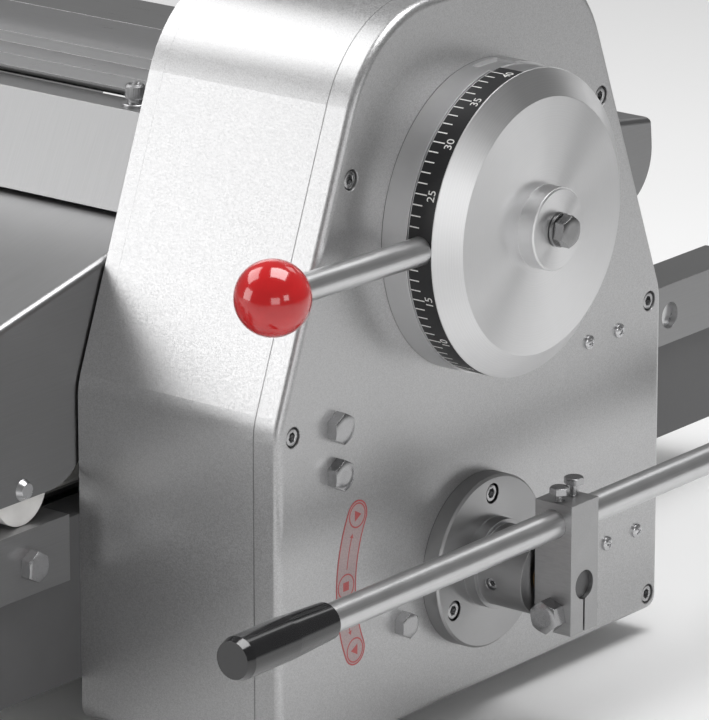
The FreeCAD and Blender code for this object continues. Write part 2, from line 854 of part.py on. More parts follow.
def dial_shaft():
    """Cross shaft from the dial to the rear pinion, drilled for the dial's bolt."""
    front_end = face_y - boss_face + size.shaft_recess
    rear_end = depth(REAR, size.frame_thick + size.rack_offset + size.rack_width)
    bar = cylinder("dial_shaft_blank", size.shaft_radius, rear_end - front_end,
                   0, front_end, level(size.dial_height), TO_REAR)
    hole = cylinder("dial_shaft_hole", size.hex_stud_radius + size.running_gap,
                    size.dial_stud_length, 0, front_end, level(size.dial_height), TO_REAR)
    keep(cut("dial_shaft", bar, [hole]), "dial_shaft")


def shaft_bushes():
    """Plain bearings of the dial shaft, and of the lever shaft from plate to hub end."""
    inner = size.shaft_radius + size.running_gap
    bushes = [turned("dial_plate_bush", ring(inner, bush_radius, 0, size.plate_thick),
                     0, face_y, level(size.dial_height), TO_REAR)]
    for side, word in ((FRONT, "front"), (REAR, "rear")):
        low, thick = span(side, 0, size.frame_thick)
        bushes.append(turned(f"dial_{word}_bush", ring(inner, bush_radius, 0, thick),
                             0, low, level(size.dial_height), TO_REAR))
    hub_end = size.rod_reach - size.block_depth / 2 - size.hub_gap
    bushes.append(turned("lever_bush", ring(inner, bush_radius, 0, hub_end + size.plate_thick),
                         0, face_y + size.plate_thick, level(size.lever_height), TO_FRONT))
    keep(group("shaft_bushes", bushes), "shaft_bushes")


def tooth_half_angle(radius, base):
    """Half of a tooth's angle at a radius, from the involute of the base circle."""
    pitch = pitch_radius.value
    at_pitch = (size.tooth_pitch.value / 2 - size.tooth_backlash.value / 2) / 2 / pitch

    def involute(angle):
        return math.tan(angle) - angle
    return at_pitch + involute(PRESSURE_ANGLE) - involute(math.acos(min(1.0, base / radius)))


def pinion_shape(width):
    """Involute pinion with a tooth space towards +X, bored for the cross shaft."""
    count = int(size.tooth_count.value)
    module = size.tooth_pitch.value / math.pi
    pitch = pitch_radius.value
    base = pitch * math.cos(PRESSURE_ANGLE)
    tip = pitch + module
    low = pitch - 1.25 * module
    radii = [base + (tip - base) * step / FLANK_STEPS for step in range(FLANK_STEPS + 1)]
    flank = [(low, tooth_half_angle(base, base))]
    flank += [(radius, tooth_half_angle(radius, base)) for radius in radii]
    points = []
    for tooth in range(count):
        centre = 2 * math.pi * (tooth + 0.5) / count
        turns = [(radius, centre - half) for radius, half in flank]
        turns += [(radius, centre + half) for radius, half in reversed(flank)]
        points += [Vector(radius * math.cos(angle), 0, radius * math.sin(angle))
                   for radius, angle in turns]
    outline = Part.Face(Part.makePolygon(points + points[:1]))
    blank = outline.extrude(Vector(0, width, 0))
    bore = Part.makeCylinder(size.shaft_radius.value + size.seat_gap.value, width,
                             Vector(), Vector(0, 1, 0))
    return blank.cut(bore)


def rack_shape(width, bottom, top):
    """Straight rack whose teeth face the pinion, between two heights above the dial's axis."""
    pitch = size.tooth_pitch.value
    module = pitch / math.pi
    line = pitch_radius.value
    slope = math.tan(PRESSURE_ANGLE)
    half = (pitch / 2 - size.tooth_backlash.value / 2) / 2
    tip_x, root_x = line - module, line + 1.25 * module
    tip_half, root_half = half - module * slope, half + 1.25 * module * slope
    first = -math.floor(size.rack_spare.value / pitch)
    last = math.floor((top - pitch / 2) / pitch)
    points = [Vector(size.rack_back.value, 0, bottom), Vector(root_x, 0, bottom)]
    for tooth in range(first, last + 1):
        middle = tooth * pitch
        points += [Vector(root_x, 0, middle - root_half), Vector(tip_x, 0, middle - tip_half),
                   Vector(tip_x, 0, middle + tip_half), Vector(root_x, 0, middle + root_half)]
    points += [Vector(root_x, 0, top), Vector(size.rack_back.value, 0, top)]
    return Part.Face(Part.makePolygon(points + points[:1])).extrude(Vector(0, width, 0))


def gap_drive():
    """Pinions on the cross shaft, and racks that stand on the bearing carriages."""
    pinions, racks = [], []
    width = size.rack_width
    bottom = upper_roller_height + size.carriage_above - size.dial_height
    top = size.gap_travel + size.rack_spare
    for side, word in ((FRONT, "front"), (REAR, "rear")):
        near = size.frame_thick + size.rack_offset
        low, _ = span(side, near, near + width)
        pinions.append(solid_feature(f"{word}_pinion", pinion_shape(width.value),
                                     0, low, level(size.dial_height)))
        racks.append(solid_feature(f"{word}_rack", rack_shape(width.value, bottom.value, top.value),
                                   0, low, level(size.dial_height)))
    keep(group("gap_pinions", pinions), "gap_pinions")
    keep(group("gap_racks", racks), "gap_racks")


def carriages():
    """Sliding bearing blocks of the upper roller, their bearings and their guides."""
    blocks, bearings, guides = [], [], []
    axis = level(upper_roller_height)
    bar_height = axis + size.scraper_rise
    tall = size.carriage_below + size.carriage_above
    guide_low = upper_roller_height - size.gap_travel - size.carriage_below - size.guide_spare
    guide_tall = upper_roller_height + size.carriage_above - guide_low
    near = size.frame_thick + size.slide_gap
    far = near + size.carriage_thick
    for side, word in ((FRONT, "front"), (REAR, "rear")):
        low, thick = span(side, near, far)
        blank = box(f"{word}_carriage_blank", (-size.carriage_half, low, axis - size.carriage_below),
                    (2 * size.carriage_half, thick, tall))
        bores = [cylinder(f"{word}_carriage_bore", size.bearing_radius + size.seat_gap, thick,
                          0, low, axis, TO_REAR),
                 cylinder(f"{word}_carriage_hole", size.scraper_bar_radius + size.seat_gap, thick,
                          0, low, bar_height, TO_REAR)]
        blocks.append(cut(f"{word}_carriage", blank, bores))
        bearings.append(turned(f"{word}_upper_bearing",
                               ring(size.journal_radius + size.running_gap, size.bearing_radius,
                                    0, thick), 0, low, axis, TO_REAR))
        for hand, hand_word in ((LEFT, "left"), (RIGHT, "right")):
            guides.append(guide_bar(f"{word}_{hand_word}_guide", side, hand, level(guide_low),
                                    guide_tall))
    keep(group("bearing_carriages", blocks), "bearing_carriages")
    keep(group("upper_bearings", bearings), "upper_bearings")
    keep(group("carriage_guides", guides), "carriage_guides")


def guide_bar(name, side, hand, low, tall):
    """Upright bar on the frame plate with a lip over the edge of the carriage."""
    inner = size.carriage_half + size.slide_gap
    outer = inner + size.guide_width
    lip = size.carriage_half - size.guide_lip
    step = size.carriage_thick + 2 * size.slide_gap
    full = step + size.guide_lip_thick
    corners = [(inner, 0), (outer, 0), (outer, full), (lip, full), (lip, step), (inner, step)]
    body = extruded(name, [[(hand * x, side * y) for x, y in corners]], tall, "XY_Plane")
    return place(body, 0, depth(side, size.frame_thick), low)


def rollers():
    """Sheeting rollers, turned with their journals in one piece."""
    barrel = size.work_width - 2 * size.roller_end_gap
    inner = size.frame_thick + size.roller_end_gap
    front_belt = size.belt_chain_plane + size.belt_chain_pitch + size.belt_sprocket_width
    rear_drive = size.sprocket_plane + size.sprocket_width
    carriage_end = size.slide_gap + size.carriage_thick
    for node, height, front_tail, rear_tail in (
            ("lower_roller", size.roller_height, front_belt, rear_drive),
            ("upper_roller", upper_roller_height, carriage_end, rear_drive)):
        front_end = -(inner + front_tail)
        rear_end = barrel + inner + rear_tail
        keep(turned(node, [
            (0, front_end), (size.journal_radius, front_end), (size.journal_radius, 0),
            (size.roller_radius, 0), (size.roller_radius, barrel), (size.journal_radius, barrel),
            (size.journal_radius, rear_end), (0, rear_end)],
            0, depth(FRONT, -size.roller_end_gap), level(height), TO_REAR), node)


def sprockets():
    """Chain wheels of the rollers and of the motor."""
    bore = size.journal_radius + size.seat_gap
    drive_low, drive_wide = span(REAR, size.frame_thick + size.sprocket_plane,
                                 size.frame_thick + size.sprocket_plane + size.sprocket_width)
    drive_ring = ring(bore, size.sprocket_radius, 0, drive_wide)
    keep(turned("upper_sprocket", drive_ring, 0, drive_low, level(upper_roller_height), TO_REAR),
         "upper_sprocket")
    wheels = [turned("lower_drive_sprocket", drive_ring, 0, drive_low,
                     level(size.roller_height), TO_REAR)]
    for number in (0, 1):
        near = size.frame_thick + size.belt_chain_plane + number * size.belt_chain_pitch
        low, wide = span(FRONT, near, near + size.belt_sprocket_width)
        wheels.append(turned(f"lower_belt_sprocket_{number + 1}",
                             ring(bore, size.belt_sprocket_radius, 0, wide),
                             0, low, level(size.roller_height), TO_REAR))
    keep(group("lower_sprockets", wheels), "lower_sprockets")
    motor_bore = size.motor_shaft_radius + size.running_gap
    keep(turned("motor_sprocket", ring(motor_bore, size.sprocket_radius, 0, drive_wide),
                -size.motor_place, drive_low, level(size.motor_height), TO_REAR), "motor_sprocket")


def scrapers():
    """Upper scraper that travels with the carriages, and the aprons beside the lower roller."""
    bar_height = size.scraper_rise
    tip = (size.roller_radius + size.scraper_tip_gap) * math.sqrt(0.5)
    thick = size.scraper_thick
    crown = bar_height + size.scraper_bar_radius
    blade = extruded("scraper_blade", [[
        (-tip, tip), (0, crown - thick), (tip, tip), (tip + thick, tip + thick / 2),
        (thick, crown + thick), (-thick, crown + thick), (-tip - thick, tip + thick / 2)]],
        size.work_width - 2 * size.guard_gap)
    place(blade, 0, depth(FRONT, -size.guard_gap), level(upper_roller_height))
    ends = size.frame_thick + size.slide_gap + size.carriage_thick
    bar = cylinder("scraper_bar", size.scraper_bar_radius, size.work_width + 2 * ends,
                   0, depth(FRONT, ends), level(upper_roller_height) + bar_height, TO_REAR)
    keep(fuse("upper_scraper", [blade, bar]), "upper_scraper")

    top = drum_height + size.drum_radius
    rise = top - size.roller_height
    reach = size.roller_radius + size.apron_gap
    near = root(reach * reach - rise * rise)
    far = size.drive_drum_place - size.bed_margin / 2
    low = size.apron_thick
    aprons = []
    for hand, word in ((LEFT, "left"), (RIGHT, "right")):
        corners = [(near, 0), (far, 0), (far, -low), (near + 3 * low, -low)]
        body = extruded(f"{word}_apron", [[(hand * x, z) for x, z in corners]], size.work_width)
        aprons.append(place(body, 0, depth(FRONT, 0), level(top)))
    keep(group("lower_scrapers", aprons), "lower_scrapers")


# Drive


def band_wire(wheels, shift):
    """Closed line round wheels (x, z, radius, sense), moved sideways by shift.

    A wheel of sense +1 lies inside the loop and one of sense -1 outside it.  The run from one
    wheel to the next is their common tangent, at the angle of their centre line less
    asin((signed radius 2 - signed radius 1) / distance).
    """
    count = len(wheels)
    signed = [sense * radius + shift for _, _, radius, sense in wheels]
    runs = []
    for number, (x, z, _, _) in enumerate(wheels):
        following = (number + 1) % count
        across, along = wheels[following][0] - x, wheels[following][1] - z
        angle = math.atan2(along, across)
        angle -= math.asin((signed[following] - signed[number]) / math.hypot(across, along))
        normal = Vector(math.sin(angle), 0, -math.cos(angle))
        start = Vector(x, 0, z) + normal * signed[number]
        end = Vector(wheels[following][0], 0, wheels[following][1]) + normal * signed[following]
        runs.append((start, end))
    edges = []
    for number, (x, z, _, sense) in enumerate(wheels):
        arrive, leave = runs[number - 1][1], runs[number][0]
        centre = Vector(x, 0, z)
        first = math.atan2(arrive.z - z, arrive.x - x)
        last = math.atan2(leave.z - z, leave.x - x)
        turn = sense * ((sense * (last - first)) % (2 * math.pi))
        middle = first + turn / 2
        radius = abs(signed[number])
        crest = centre + Vector(math.cos(middle), 0, math.sin(middle)) * radius
        edges.append(Part.Arc(arrive, crest, leave).toShape())
        edges.append(Part.LineSegment(*runs[number]).toShape())
    return Part.Wire(edges)


def band_shape(wheels, gap, thick, width):
    """Closed band of one thickness that runs round wheels with a small gap to each."""
    middle = [(x, z, radius + gap + thick / 2, sense) for x, z, radius, sense in wheels]
    outer = Part.Face(band_wire(middle, thick / 2))
    inner = Part.Face(band_wire(middle, -thick / 2))
    return outer.cut(inner).extrude(Vector(0, width, 0))


def motor():
    """Geared motor on the inside of the rear plate, with its shaft towards the rollers."""
    plate = size.frame_thick + size.cover_depth
    shaft_end = size.cover_depth - size.sprocket_plane
    flange = size.motor_flange_thick
    length = size.motor_length
    keep(turned("drive_motor", [
        (0, 0), (size.motor_flange_radius, 0), (size.motor_flange_radius, flange),
        (size.motor_radius, flange), (size.motor_radius, length * 0.7),
        (size.motor_radius * 0.6, length), (size.motor_shaft_radius, length),
        (size.motor_shaft_radius, shaft_end), (0, shaft_end)],
        -size.motor_place, depth(REAR, plate), level(size.motor_height), TO_FRONT), "drive_motor")


def chains():
    """Serpentine roller chain at the rear with its guide shoes, and the belt chains in front."""
    near = size.frame_thick + size.sprocket_plane
    low, width = span(REAR, near, near + size.sprocket_width)
    shoe = size.shoe_radius.value
    sprocket = size.sprocket_radius.value
    spread, shoe_height = size.shoe_spread.value, size.shoe_height.value
    path = [(-size.motor_place.value, size.motor_height.value, sprocket, 1),
            (0.0, size.roller_height.value, sprocket, 1),
            (spread, shoe_height, shoe, 1),
            (0.0, upper_roller_height.value, sprocket, -1),
            (-spread, shoe_height, shoe, 1)]
    gap, thick = size.chain_gap.value, size.chain_thick.value
    keep(solid_feature("drive_chain", band_shape(path, gap, thick, width.value),
                       0, low, size.foot_height), "drive_chain")
    shoes = []
    for hand, word in ((LEFT, "left"), (RIGHT, "right")):
        post = size.sprocket_plane + size.sprocket_width
        shoes.append(turned(f"{word}_shoe", [
            (0, 0), (size.shoe_radius / 2, 0), (size.shoe_radius / 2, size.sprocket_plane),
            (size.shoe_radius, size.sprocket_plane), (size.shoe_radius, post), (0, post)],
            hand * size.shoe_spread, depth(REAR, size.frame_thick), level(size.shoe_height),
            TO_REAR))
    keep(group("chain_shoes", shoes), "chain_shoes")

    loops = []
    for number, hand in enumerate((LEFT, RIGHT)):
        near = size.frame_thick + size.belt_chain_plane + number * size.belt_chain_pitch
        low, width = span(FRONT, near, near + size.belt_sprocket_width)
        path = [(0.0, size.roller_height.value, size.belt_sprocket_radius.value, 1),
                (hand * size.drive_drum_place.value, drum_height.value,
                 size.drum_sprocket_radius.value, 1)]
        shape = band_shape(path, gap, thick, width.value)
        loops.append(solid_feature(f"belt_chain_{number + 1}", shape, 0, low, size.foot_height))
    keep(group("conveyor_chains", loops), "conveyor_chains")


# Reversing lever


def flange_screw_places():
    """Three screws on a circle round the lever's shaft, one of them straight above it."""
    circle = size.flange_screw_circle
    turns = [math.radians(angle) for angle in (90, 210, 330)]
    return [(circle * math.cos(turn), level(size.lever_height) + circle * math.sin(turn))
            for turn in turns]


def lever_mount():
    """Flange with its hub on the front plate, counterbored for three screws."""
    hub_end = size.rod_reach - size.block_depth / 2 - size.hub_gap
    bore = bush_radius + size.seat_gap
    blank = turned("flange_blank", [
        (bore, 0), (size.flange_radius, 0),
        (size.flange_radius, size.flange_thick - size.flange_chamfer),
        (size.flange_radius - size.flange_chamfer, size.flange_thick),
        (size.collar_radius, size.flange_thick), (size.collar_radius, size.collar_end),
        (size.hub_radius, size.collar_end), (size.hub_radius, hub_end), (bore, hub_end)],
        0, face_y, level(size.lever_height), TO_FRONT)
    tools = []
    front = face_y - size.flange_thick
    for number, (x, z) in enumerate(flange_screw_places(), start=1):
        tools.append(cylinder(f"flange_recess_{number}", size.cap_head_radius + size.slide_gap,
                              size.cap_head_length, x, front, z, TO_REAR))
        tools.append(cylinder(f"flange_hole_{number}", size.cap_stud_radius + size.running_gap,
                              size.flange_thick, x, front, z, TO_REAR))
    tools.append(hub_screw("hub_screw_hole", bush_radius, size.hub_radius - bush_radius + 1,
                           size.hub_screw_radius + size.running_gap))
    keep(cut("lever_flange", blank, tools), "lever_flange")


def hub_screw(name, start, length, radius):
    """Round bar that points out of the hub, to the left and a little down, from a radius start."""
    tilt = size.hub_screw_tilt
    turn = Rotation(Vector(0, 1, 0), -90 - tilt.value)
    return cylinder(name, radius, length, -start * cosine(tilt), face_y - size.hub_screw_place,
                    level(size.lever_height) - start * sine(tilt), turn)


def lever_parts():
    """Shaft, split clamp block, cross rod and grips that swing together."""
    axis = level(size.lever_height)
    block_front = face_y - lever_stand
    shaft_front = block_front + size.shaft_recess
    shaft_end = face_y + size.plate_thick + size.lever_shaft_inside
    keep(cylinder("lever_shaft", size.shaft_radius, shaft_end - shaft_front, 0, shaft_front, axis,
                  TO_REAR), "lever_shaft")

    half = size.block_width / 2
    rod_y = face_y - size.rod_reach
    rod_z = axis + size.rod_rise
    clamp_z = axis - size.clamp_drop
    top = axis + size.block_above
    blank = box("block_blank", (-half, block_front, axis - size.block_below),
                (size.block_width, size.block_depth, size.block_below + size.block_above))
    tools = [cylinder("block_shaft_hole", size.shaft_radius + size.seat_gap, size.block_depth,
                      0, block_front, axis, TO_REAR),
             cylinder("block_rod_hole", size.rod_radius + size.seat_gap, size.block_width,
                      -half, rod_y, rod_z, TO_RIGHT),
             cylinder("block_clamp_hole", size.clamp_radius + size.running_gap, size.block_width,
                      -half, rod_y, clamp_z, TO_RIGHT),
             box("block_slit", (-size.slit_width / 2, block_front, axis - size.block_below),
                 (size.slit_width, size.block_depth, size.block_below))]
    set_length = size.block_above - size.rod_rise - size.rod_radius
    for hand, word in ((LEFT, "left"), (RIGHT, "right")):
        tools.append(cylinder(f"block_set_hole_{word}", size.set_bolt_radius + size.running_gap,
                              set_length, hand * size.set_bolt_spread, rod_y, top - set_length))
    keep(cut("clamp_block", blank, tools), "clamp_block")

    clamp = hex_bolt("clamp_screw", size.hex_flats, size.hex_head_length, size.clamp_radius,
                     size.block_width + size.hex_head_length)
    place(clamp, -half, rod_y, clamp_z, TO_LEFT)
    nut_blank = hexagon("clamp_nut_blank", size.hex_flats, size.hex_head_length,
                        half, rod_y, clamp_z, TO_RIGHT)
    nut_hole = cylinder("clamp_nut_hole", size.clamp_radius + size.running_gap,
                        size.hex_head_length, half, rod_y, clamp_z, TO_RIGHT)
    nut = cut("clamp_nut", nut_blank, [nut_hole])
    shank = set_length + size.set_bolt_stand
    set_bolt = hex_bolt("set_bolt", size.set_bolt_flats, size.set_bolt_head, size.set_bolt_radius,
                        shank)
    places = [(hand * size.set_bolt_spread, rod_y, top + size.set_bolt_stand)
              for hand in (LEFT, RIGHT)]
    keep(group("clamp_bolts", [clamp, nut] + copies("set_bolt_copy", set_bolt, places)),
         "clamp_bolts")

    rod_half = size.grip_end - size.grip_cap
    keep(cylinder("lever_rod", size.rod_radius, 2 * rod_half, -rod_half, rod_y, rod_z, TO_RIGHT),
         "lever_rod")
    bore = size.rod_radius + size.seat_gap
    end = size.grip_end - size.grip_start
    profile = [(bore, 0), (size.grip_neck, 0), (size.grip_radius, end * 0.45),
               (size.grip_radius, end - size.grip_cap), (size.grip_neck, end), (0, end),
               (0, end - size.grip_cap), (bore, end - size.grip_cap)]
    grips = [turned(f"{word}_grip", profile, hand * size.grip_start, rod_y, rod_z, turn)
             for hand, word, turn in ((LEFT, "left", TO_LEFT), (RIGHT, "right", TO_RIGHT))]
    keep(group("lever_grips", grips), "lever_grips")


def reversing_switches():
    """Cam arm on the inner end of the lever shaft, and the switch above each of its ends."""
    axis = level(size.lever_height)
    back = face_y + size.plate_thick
    low = back + size.cam_offset
    hub = cylinder("cam_hub", size.cam_hub_radius, size.cam_thick, 0, low, axis, TO_REAR)
    arm = box("cam_arm_bar", (-size.cam_half, low, axis - size.cam_arm / 2),
              (2 * size.cam_half, size.cam_thick, size.cam_arm))
    bore = cylinder("cam_bore", size.shaft_radius + size.seat_gap, size.cam_thick, 0, low, axis,
                    TO_REAR)
    keep(cut("shift_cam", fuse("cam_blank", [hub, arm]), [bore]), "shift_cam")
    switches = []
    for hand, word in ((LEFT, "left"), (RIGHT, "right")):
        inner = size.switch_place if hand == RIGHT else -size.switch_place - size.switch_width
        switches.append(box(f"{word}_switch", (inner, back, axis + size.switch_rise),
                            (size.switch_width, size.switch_depth, size.switch_tall)))
    keep(group("direction_switches", switches), "direction_switches")


# Belt tables


def tables():
    """Beams, outer rails, slider beds, belts and cross bars of both tables."""
    beams, rails, beds, belts = [], [], [], []
    beam_top = size.rail_top - size.rail_thick
    beam_length = size.table_reach - size.beam_start
    rail_length = size.table_reach - size.rail_start
    wall = size.beam_wall
    for hand, hand_word in ((LEFT, "left"), (RIGHT, "right")):
        beam_x = size.beam_start if hand == RIGHT else -size.table_reach
        rail_x = size.rail_start if hand == RIGHT else -size.table_reach
        for side, side_word in ((FRONT, "front"), (REAR, "rear")):
            name = f"{hand_word}_{side_word}"
            outer = [(0, size.beam_bottom), (-side * size.beam_thick, size.beam_bottom),
                     (-side * size.beam_thick, beam_top), (0, beam_top)]
            inner = [(-side * wall, size.beam_bottom + wall),
                     (-side * (size.beam_thick - wall), size.beam_bottom + wall),
                     (-side * (size.beam_thick - wall), beam_top - wall),
                     (-side * wall, beam_top - wall)]
            beam = extruded(name + "_beam_blank", [outer, inner], beam_length, "YZ_Plane")
            place(beam, beam_x, depth(side, 0), size.foot_height)
            beams.append(cut(name + "_beam", beam, beam_tools(name, side, hand)))

            top = size.rail_top
            low = size.rail_top - size.rail_tall
            thick = size.rail_thick
            angle = [(side * thick, low), (0, low), (0, top - thick),
                     (-side * (size.rail_flange - thick), top - thick),
                     (-side * (size.rail_flange - thick), top), (side * thick, top)]
            rail = extruded(name + "_rail_blank", [angle], rail_length, "YZ_Plane")
            place(rail, rail_x, depth(side, 0), size.foot_height)
            rails.append(cut(name + "_rail", rail, rail_tools(name, side, hand)))
        beds.append(slider_bed(hand_word, hand))
        belts.append(belt(hand_word, hand))
    keep(group("base_beams", beams), "base_beams")
    keep(group("table_rails", rails), "table_rails")
    keep(group("slider_beds", beds), "slider_beds")
    keep(group("conveyor_belts", belts), "conveyor_belts")
    cross_bars()


def beam_tools(name, side, hand):
    """Bolt hole in a beam's outer wall, and the bore for the tail drum's bearing."""
    low, _ = span(side, -size.beam_wall, 0)
    inner, _ = span(side, -size.beam_thick, 0)
    return [cylinder(name + "_beam_bolt", size.hex_stud_radius + size.running_gap, size.beam_wall,
                     hand * size.rail_bolt_place, low, level(size.rail_bolt_height), TO_REAR),
            cylinder(name + "_beam_bore", size.drum_bearing + size.seat_gap, size.beam_thick,
                     hand * tail_drum_place, inner, level(drum_height), TO_REAR)]


def rail_tools(name, side, hand):
    """Bolt hole of a rail, and the round hole that gives access to the tail drum's axle."""
    low, thick = span(side, 0, size.rail_thick)
    return [cylinder(name + "_rail_bolt_hole", size.hex_stud_radius + size.running_gap, thick,
                     hand * size.rail_bolt_place, low, level(size.rail_bolt_height), TO_REAR),
            cylinder(name + "_rail_hole", size.rail_hole_radius, thick,
                     hand * tail_drum_place, low, level(drum_height), TO_REAR)]


def slider_bed(word, hand):
    """Sheet between the beams that carries the upper run of a belt."""
    start = size.drive_drum_place + size.bed_margin
    end = tail_drum_place - size.bed_margin
    top = size.rail_top + size.belt_rise - size.belt_thick - size.turning_gap
    x = start if hand == RIGHT else -end
    inset = size.rail_flange - size.rail_thick + size.turning_gap
    low = (x, depth(FRONT, -inset), level(top - size.bed_thick))
    wide = size.work_width - 2 * inset
    return box(f"{word}_bed", low, (end - start, wide, size.bed_thick))


def belt(word, hand):
    """Endless belt round the drive drum and the tail drum of one table."""
    path = [(hand * size.drive_drum_place.value, drum_height.value, size.drum_radius.value, 1),
            (hand * tail_drum_place.value, drum_height.value, size.drum_radius.value, 1)]
    inset = size.beam_thick + size.belt_margin
    width = size.work_width - 2 * inset
    shape = band_shape(path, size.turning_gap.value, size.belt_thick.value, width.value)
    return solid_feature(f"{word}_belt", shape, 0, depth(FRONT, -inset), size.foot_height)


def drums():
    """Drive drums with their chain wheels, tail drums, and every fixed ball bearing."""
    bearings = []
    inset = size.beam_thick + size.drum_margin
    barrel = size.work_width - 2 * inset
    journal = size.drum_journal
    for number, (hand, word) in enumerate(((LEFT, "left"), (RIGHT, "right"))):
        wheel_low = -(inset + size.frame_thick + size.belt_chain_plane
                      + number * size.belt_chain_pitch)
        wheel_high = wheel_low - size.belt_sprocket_width
        rear_end = barrel + inset + size.frame_thick
        keep(turned(f"{word}_drive_drum", [
            (0, wheel_high), (size.drum_sprocket_radius, wheel_high),
            (size.drum_sprocket_radius, wheel_low), (journal, wheel_low), (journal, 0),
            (size.drum_radius, 0), (size.drum_radius, barrel), (journal, barrel),
            (journal, rear_end), (0, rear_end)],
            hand * size.drive_drum_place, depth(FRONT, -inset), level(drum_height), TO_REAR),
            f"{word}_drive_drum")
        ends = inset
        keep(turned(f"{word}_tail_drum", [
            (0, -ends), (journal, -ends), (journal, 0), (size.drum_radius, 0),
            (size.drum_radius, barrel), (journal, barrel), (journal, barrel + ends),
            (0, barrel + ends)],
            hand * tail_drum_place, depth(FRONT, -inset), level(drum_height), TO_REAR),
            f"{word}_tail_drum")
        for side, side_word in ((FRONT, "front"), (REAR, "rear")):
            spots = ((size.drive_drum_place, measure(0), size.frame_thick, "drive"),
                     (tail_drum_place, -size.beam_thick, measure(0), "tail"))
            for x, near, far, kind in spots:
                low, wide = span(side, near, far)
                bearings.append(turned(f"{word}_{side_word}_{kind}_bearing",
                                       ring(journal + size.running_gap, size.drum_bearing, 0, wide),
                                       hand * x, low, level(drum_height), TO_REAR))
    for side, side_word in ((FRONT, "front"), (REAR, "rear")):
        low, wide = span(side, 0, size.frame_thick)
        bearings.append(turned(f"{side_word}_lower_bearing",
                               ring(size.journal_radius + size.running_gap, size.bearing_radius,
                                    0, wide), 0, low, level(size.roller_height), TO_REAR))
    keep(group("fixed_bearings", bearings), "fixed_bearings")


def cross_bars():
    """Bars that tie the frame plates and the beams together, and the bars under the covers."""
    bars = []
    bar_low = size.cover_flange_height - size.cover_sheet - size.cover_bar
    for hand, word in ((LEFT, "left"), (RIGHT, "right")):
        for x, inset, kind in ((size.head_bar_place, measure(0), "head"),
                               (size.near_bar_place, size.beam_thick, "near"),
                               (far_bar_place, size.beam_thick, "far")):
            bars.append(cylinder(f"{word}_{kind}_bar", size.cross_bar_radius,
                                 size.work_width - 2 * inset, hand * x, depth(FRONT, -inset),
                                 level(size.cross_bar_height), TO_REAR))
        blank = box(f"{word}_cover_bar_blank",
                    (hand * size.thumb_place - size.cover_bar / 2, depth(FRONT, 0), level(bar_low)),
                    (size.cover_bar, size.work_width, size.cover_bar))
        bars.append(cut(f"{word}_cover_bar", blank, thumb_holes(f"{word}_bar", hand)))
    keep(group("cross_bars", bars), "cross_bars")


# Covers and guards


def thumb_places(hand):
    """Two thumb screws on one cover, near its ends."""
    return [(hand * size.thumb_place, depth(side, -size.thumb_inset),
             level(size.cover_flange_height)) for side in (FRONT, REAR)]


def thumb_holes(name, hand):
    return [cylinder(f"{name}_thumb_hole_{number}", size.thumb_stud_radius + size.running_gap,
                     size.thumb_stud_length, x, y, z - size.thumb_stud_length)
            for number, (x, y, z) in enumerate(thumb_places(hand), start=1)]


def roller_covers():
    """Bent sheets over the rollers: a flange under the thumb screws and a steep face."""
    lean, wall = size.cover_lean, size.cover_sheet
    top = size.cover_flange_height
    outer = size.cover_flange_outer
    low_x = outer + size.cover_drop / tangent(lean)
    low_z = top - size.cover_drop
    corners = [(size.cover_flange_inner, top), (outer, top), (low_x, low_z),
               (low_x - wall * sine(lean), low_z - wall * cosine(lean)),
               (outer - wall * tangent(lean / 2), top - wall),
               (size.cover_flange_inner, top - wall)]
    sheets, screws = [], []
    stud, cap = size.thumb_stud_radius, size.thumb_washer_thick
    thumb = turned("thumb_screw", [
        (0, -size.thumb_stud_length), (stud, -size.thumb_stud_length), (stud, 0),
        (size.thumb_washer_radius, 0), (size.thumb_washer_radius, cap), (size.thumb_radius, cap),
        (size.thumb_radius, cap + size.thumb_length), (0, cap + size.thumb_length)])
    for hand, word in ((LEFT, "left"), (RIGHT, "right")):
        body = extruded(f"{word}_cover_sheet", [[(hand * x, z) for x, z in corners]],
                        size.work_width)
        place(body, 0, depth(FRONT, 0), size.foot_height)
        sheets.append(cut(f"{word}_roller_cover", body, thumb_holes(f"{word}_cover", hand)))
        screws += copies(f"{word}_thumb_screw", thumb, thumb_places(hand))
    keep(group("roller_covers", sheets), "roller_covers")
    keep(group("thumb_screws", screws), "thumb_screws")


def guard_corners():
    """Profile of a guard from its inner edge outwards: roof, end, skirt and neck at the pivot."""
    slope = tangent(size.guard_slope)
    roof_start = size.guard_fold_height + (size.guard_fold_place - size.guard_inner) * slope
    roof_end = size.guard_fold_height - (size.guard_reach - size.guard_fold_place) * slope
    points = [(size.guard_inner, roof_start),
              (size.guard_reach, roof_end),
              (size.guard_reach, roof_end - size.guard_end_depth),
              (size.guard_skirt_outer, size.guard_skirt_height),
              (size.guard_skirt_inner, size.guard_skirt_height),
              (size.guard_neck_place, size.guard_neck_height),
              (size.guard_inner, size.guard_neck_inner)]
    return [(x - size.guard_pivot_place, z - size.guard_pivot_height) for x, z in points]


def guard_space_corners():
    """Profile of the space under a guard: one wall inside its roof and end, open elsewhere."""
    slope = tangent(size.guard_slope)
    drop = size.guard_wall / cosine(size.guard_slope)
    start = size.guard_inner - size.guard_edge_round
    end = size.guard_reach - size.guard_wall
    floor = size.guard_skirt_height - size.guard_edge_round
    points = [(start, size.guard_fold_height + (size.guard_fold_place - start) * slope - drop),
              (end, size.guard_fold_height - (end - size.guard_fold_place) * slope - drop),
              (end, floor), (start, floor)]
    return [(x - size.guard_pivot_place, z - size.guard_pivot_height) for x, z in points]


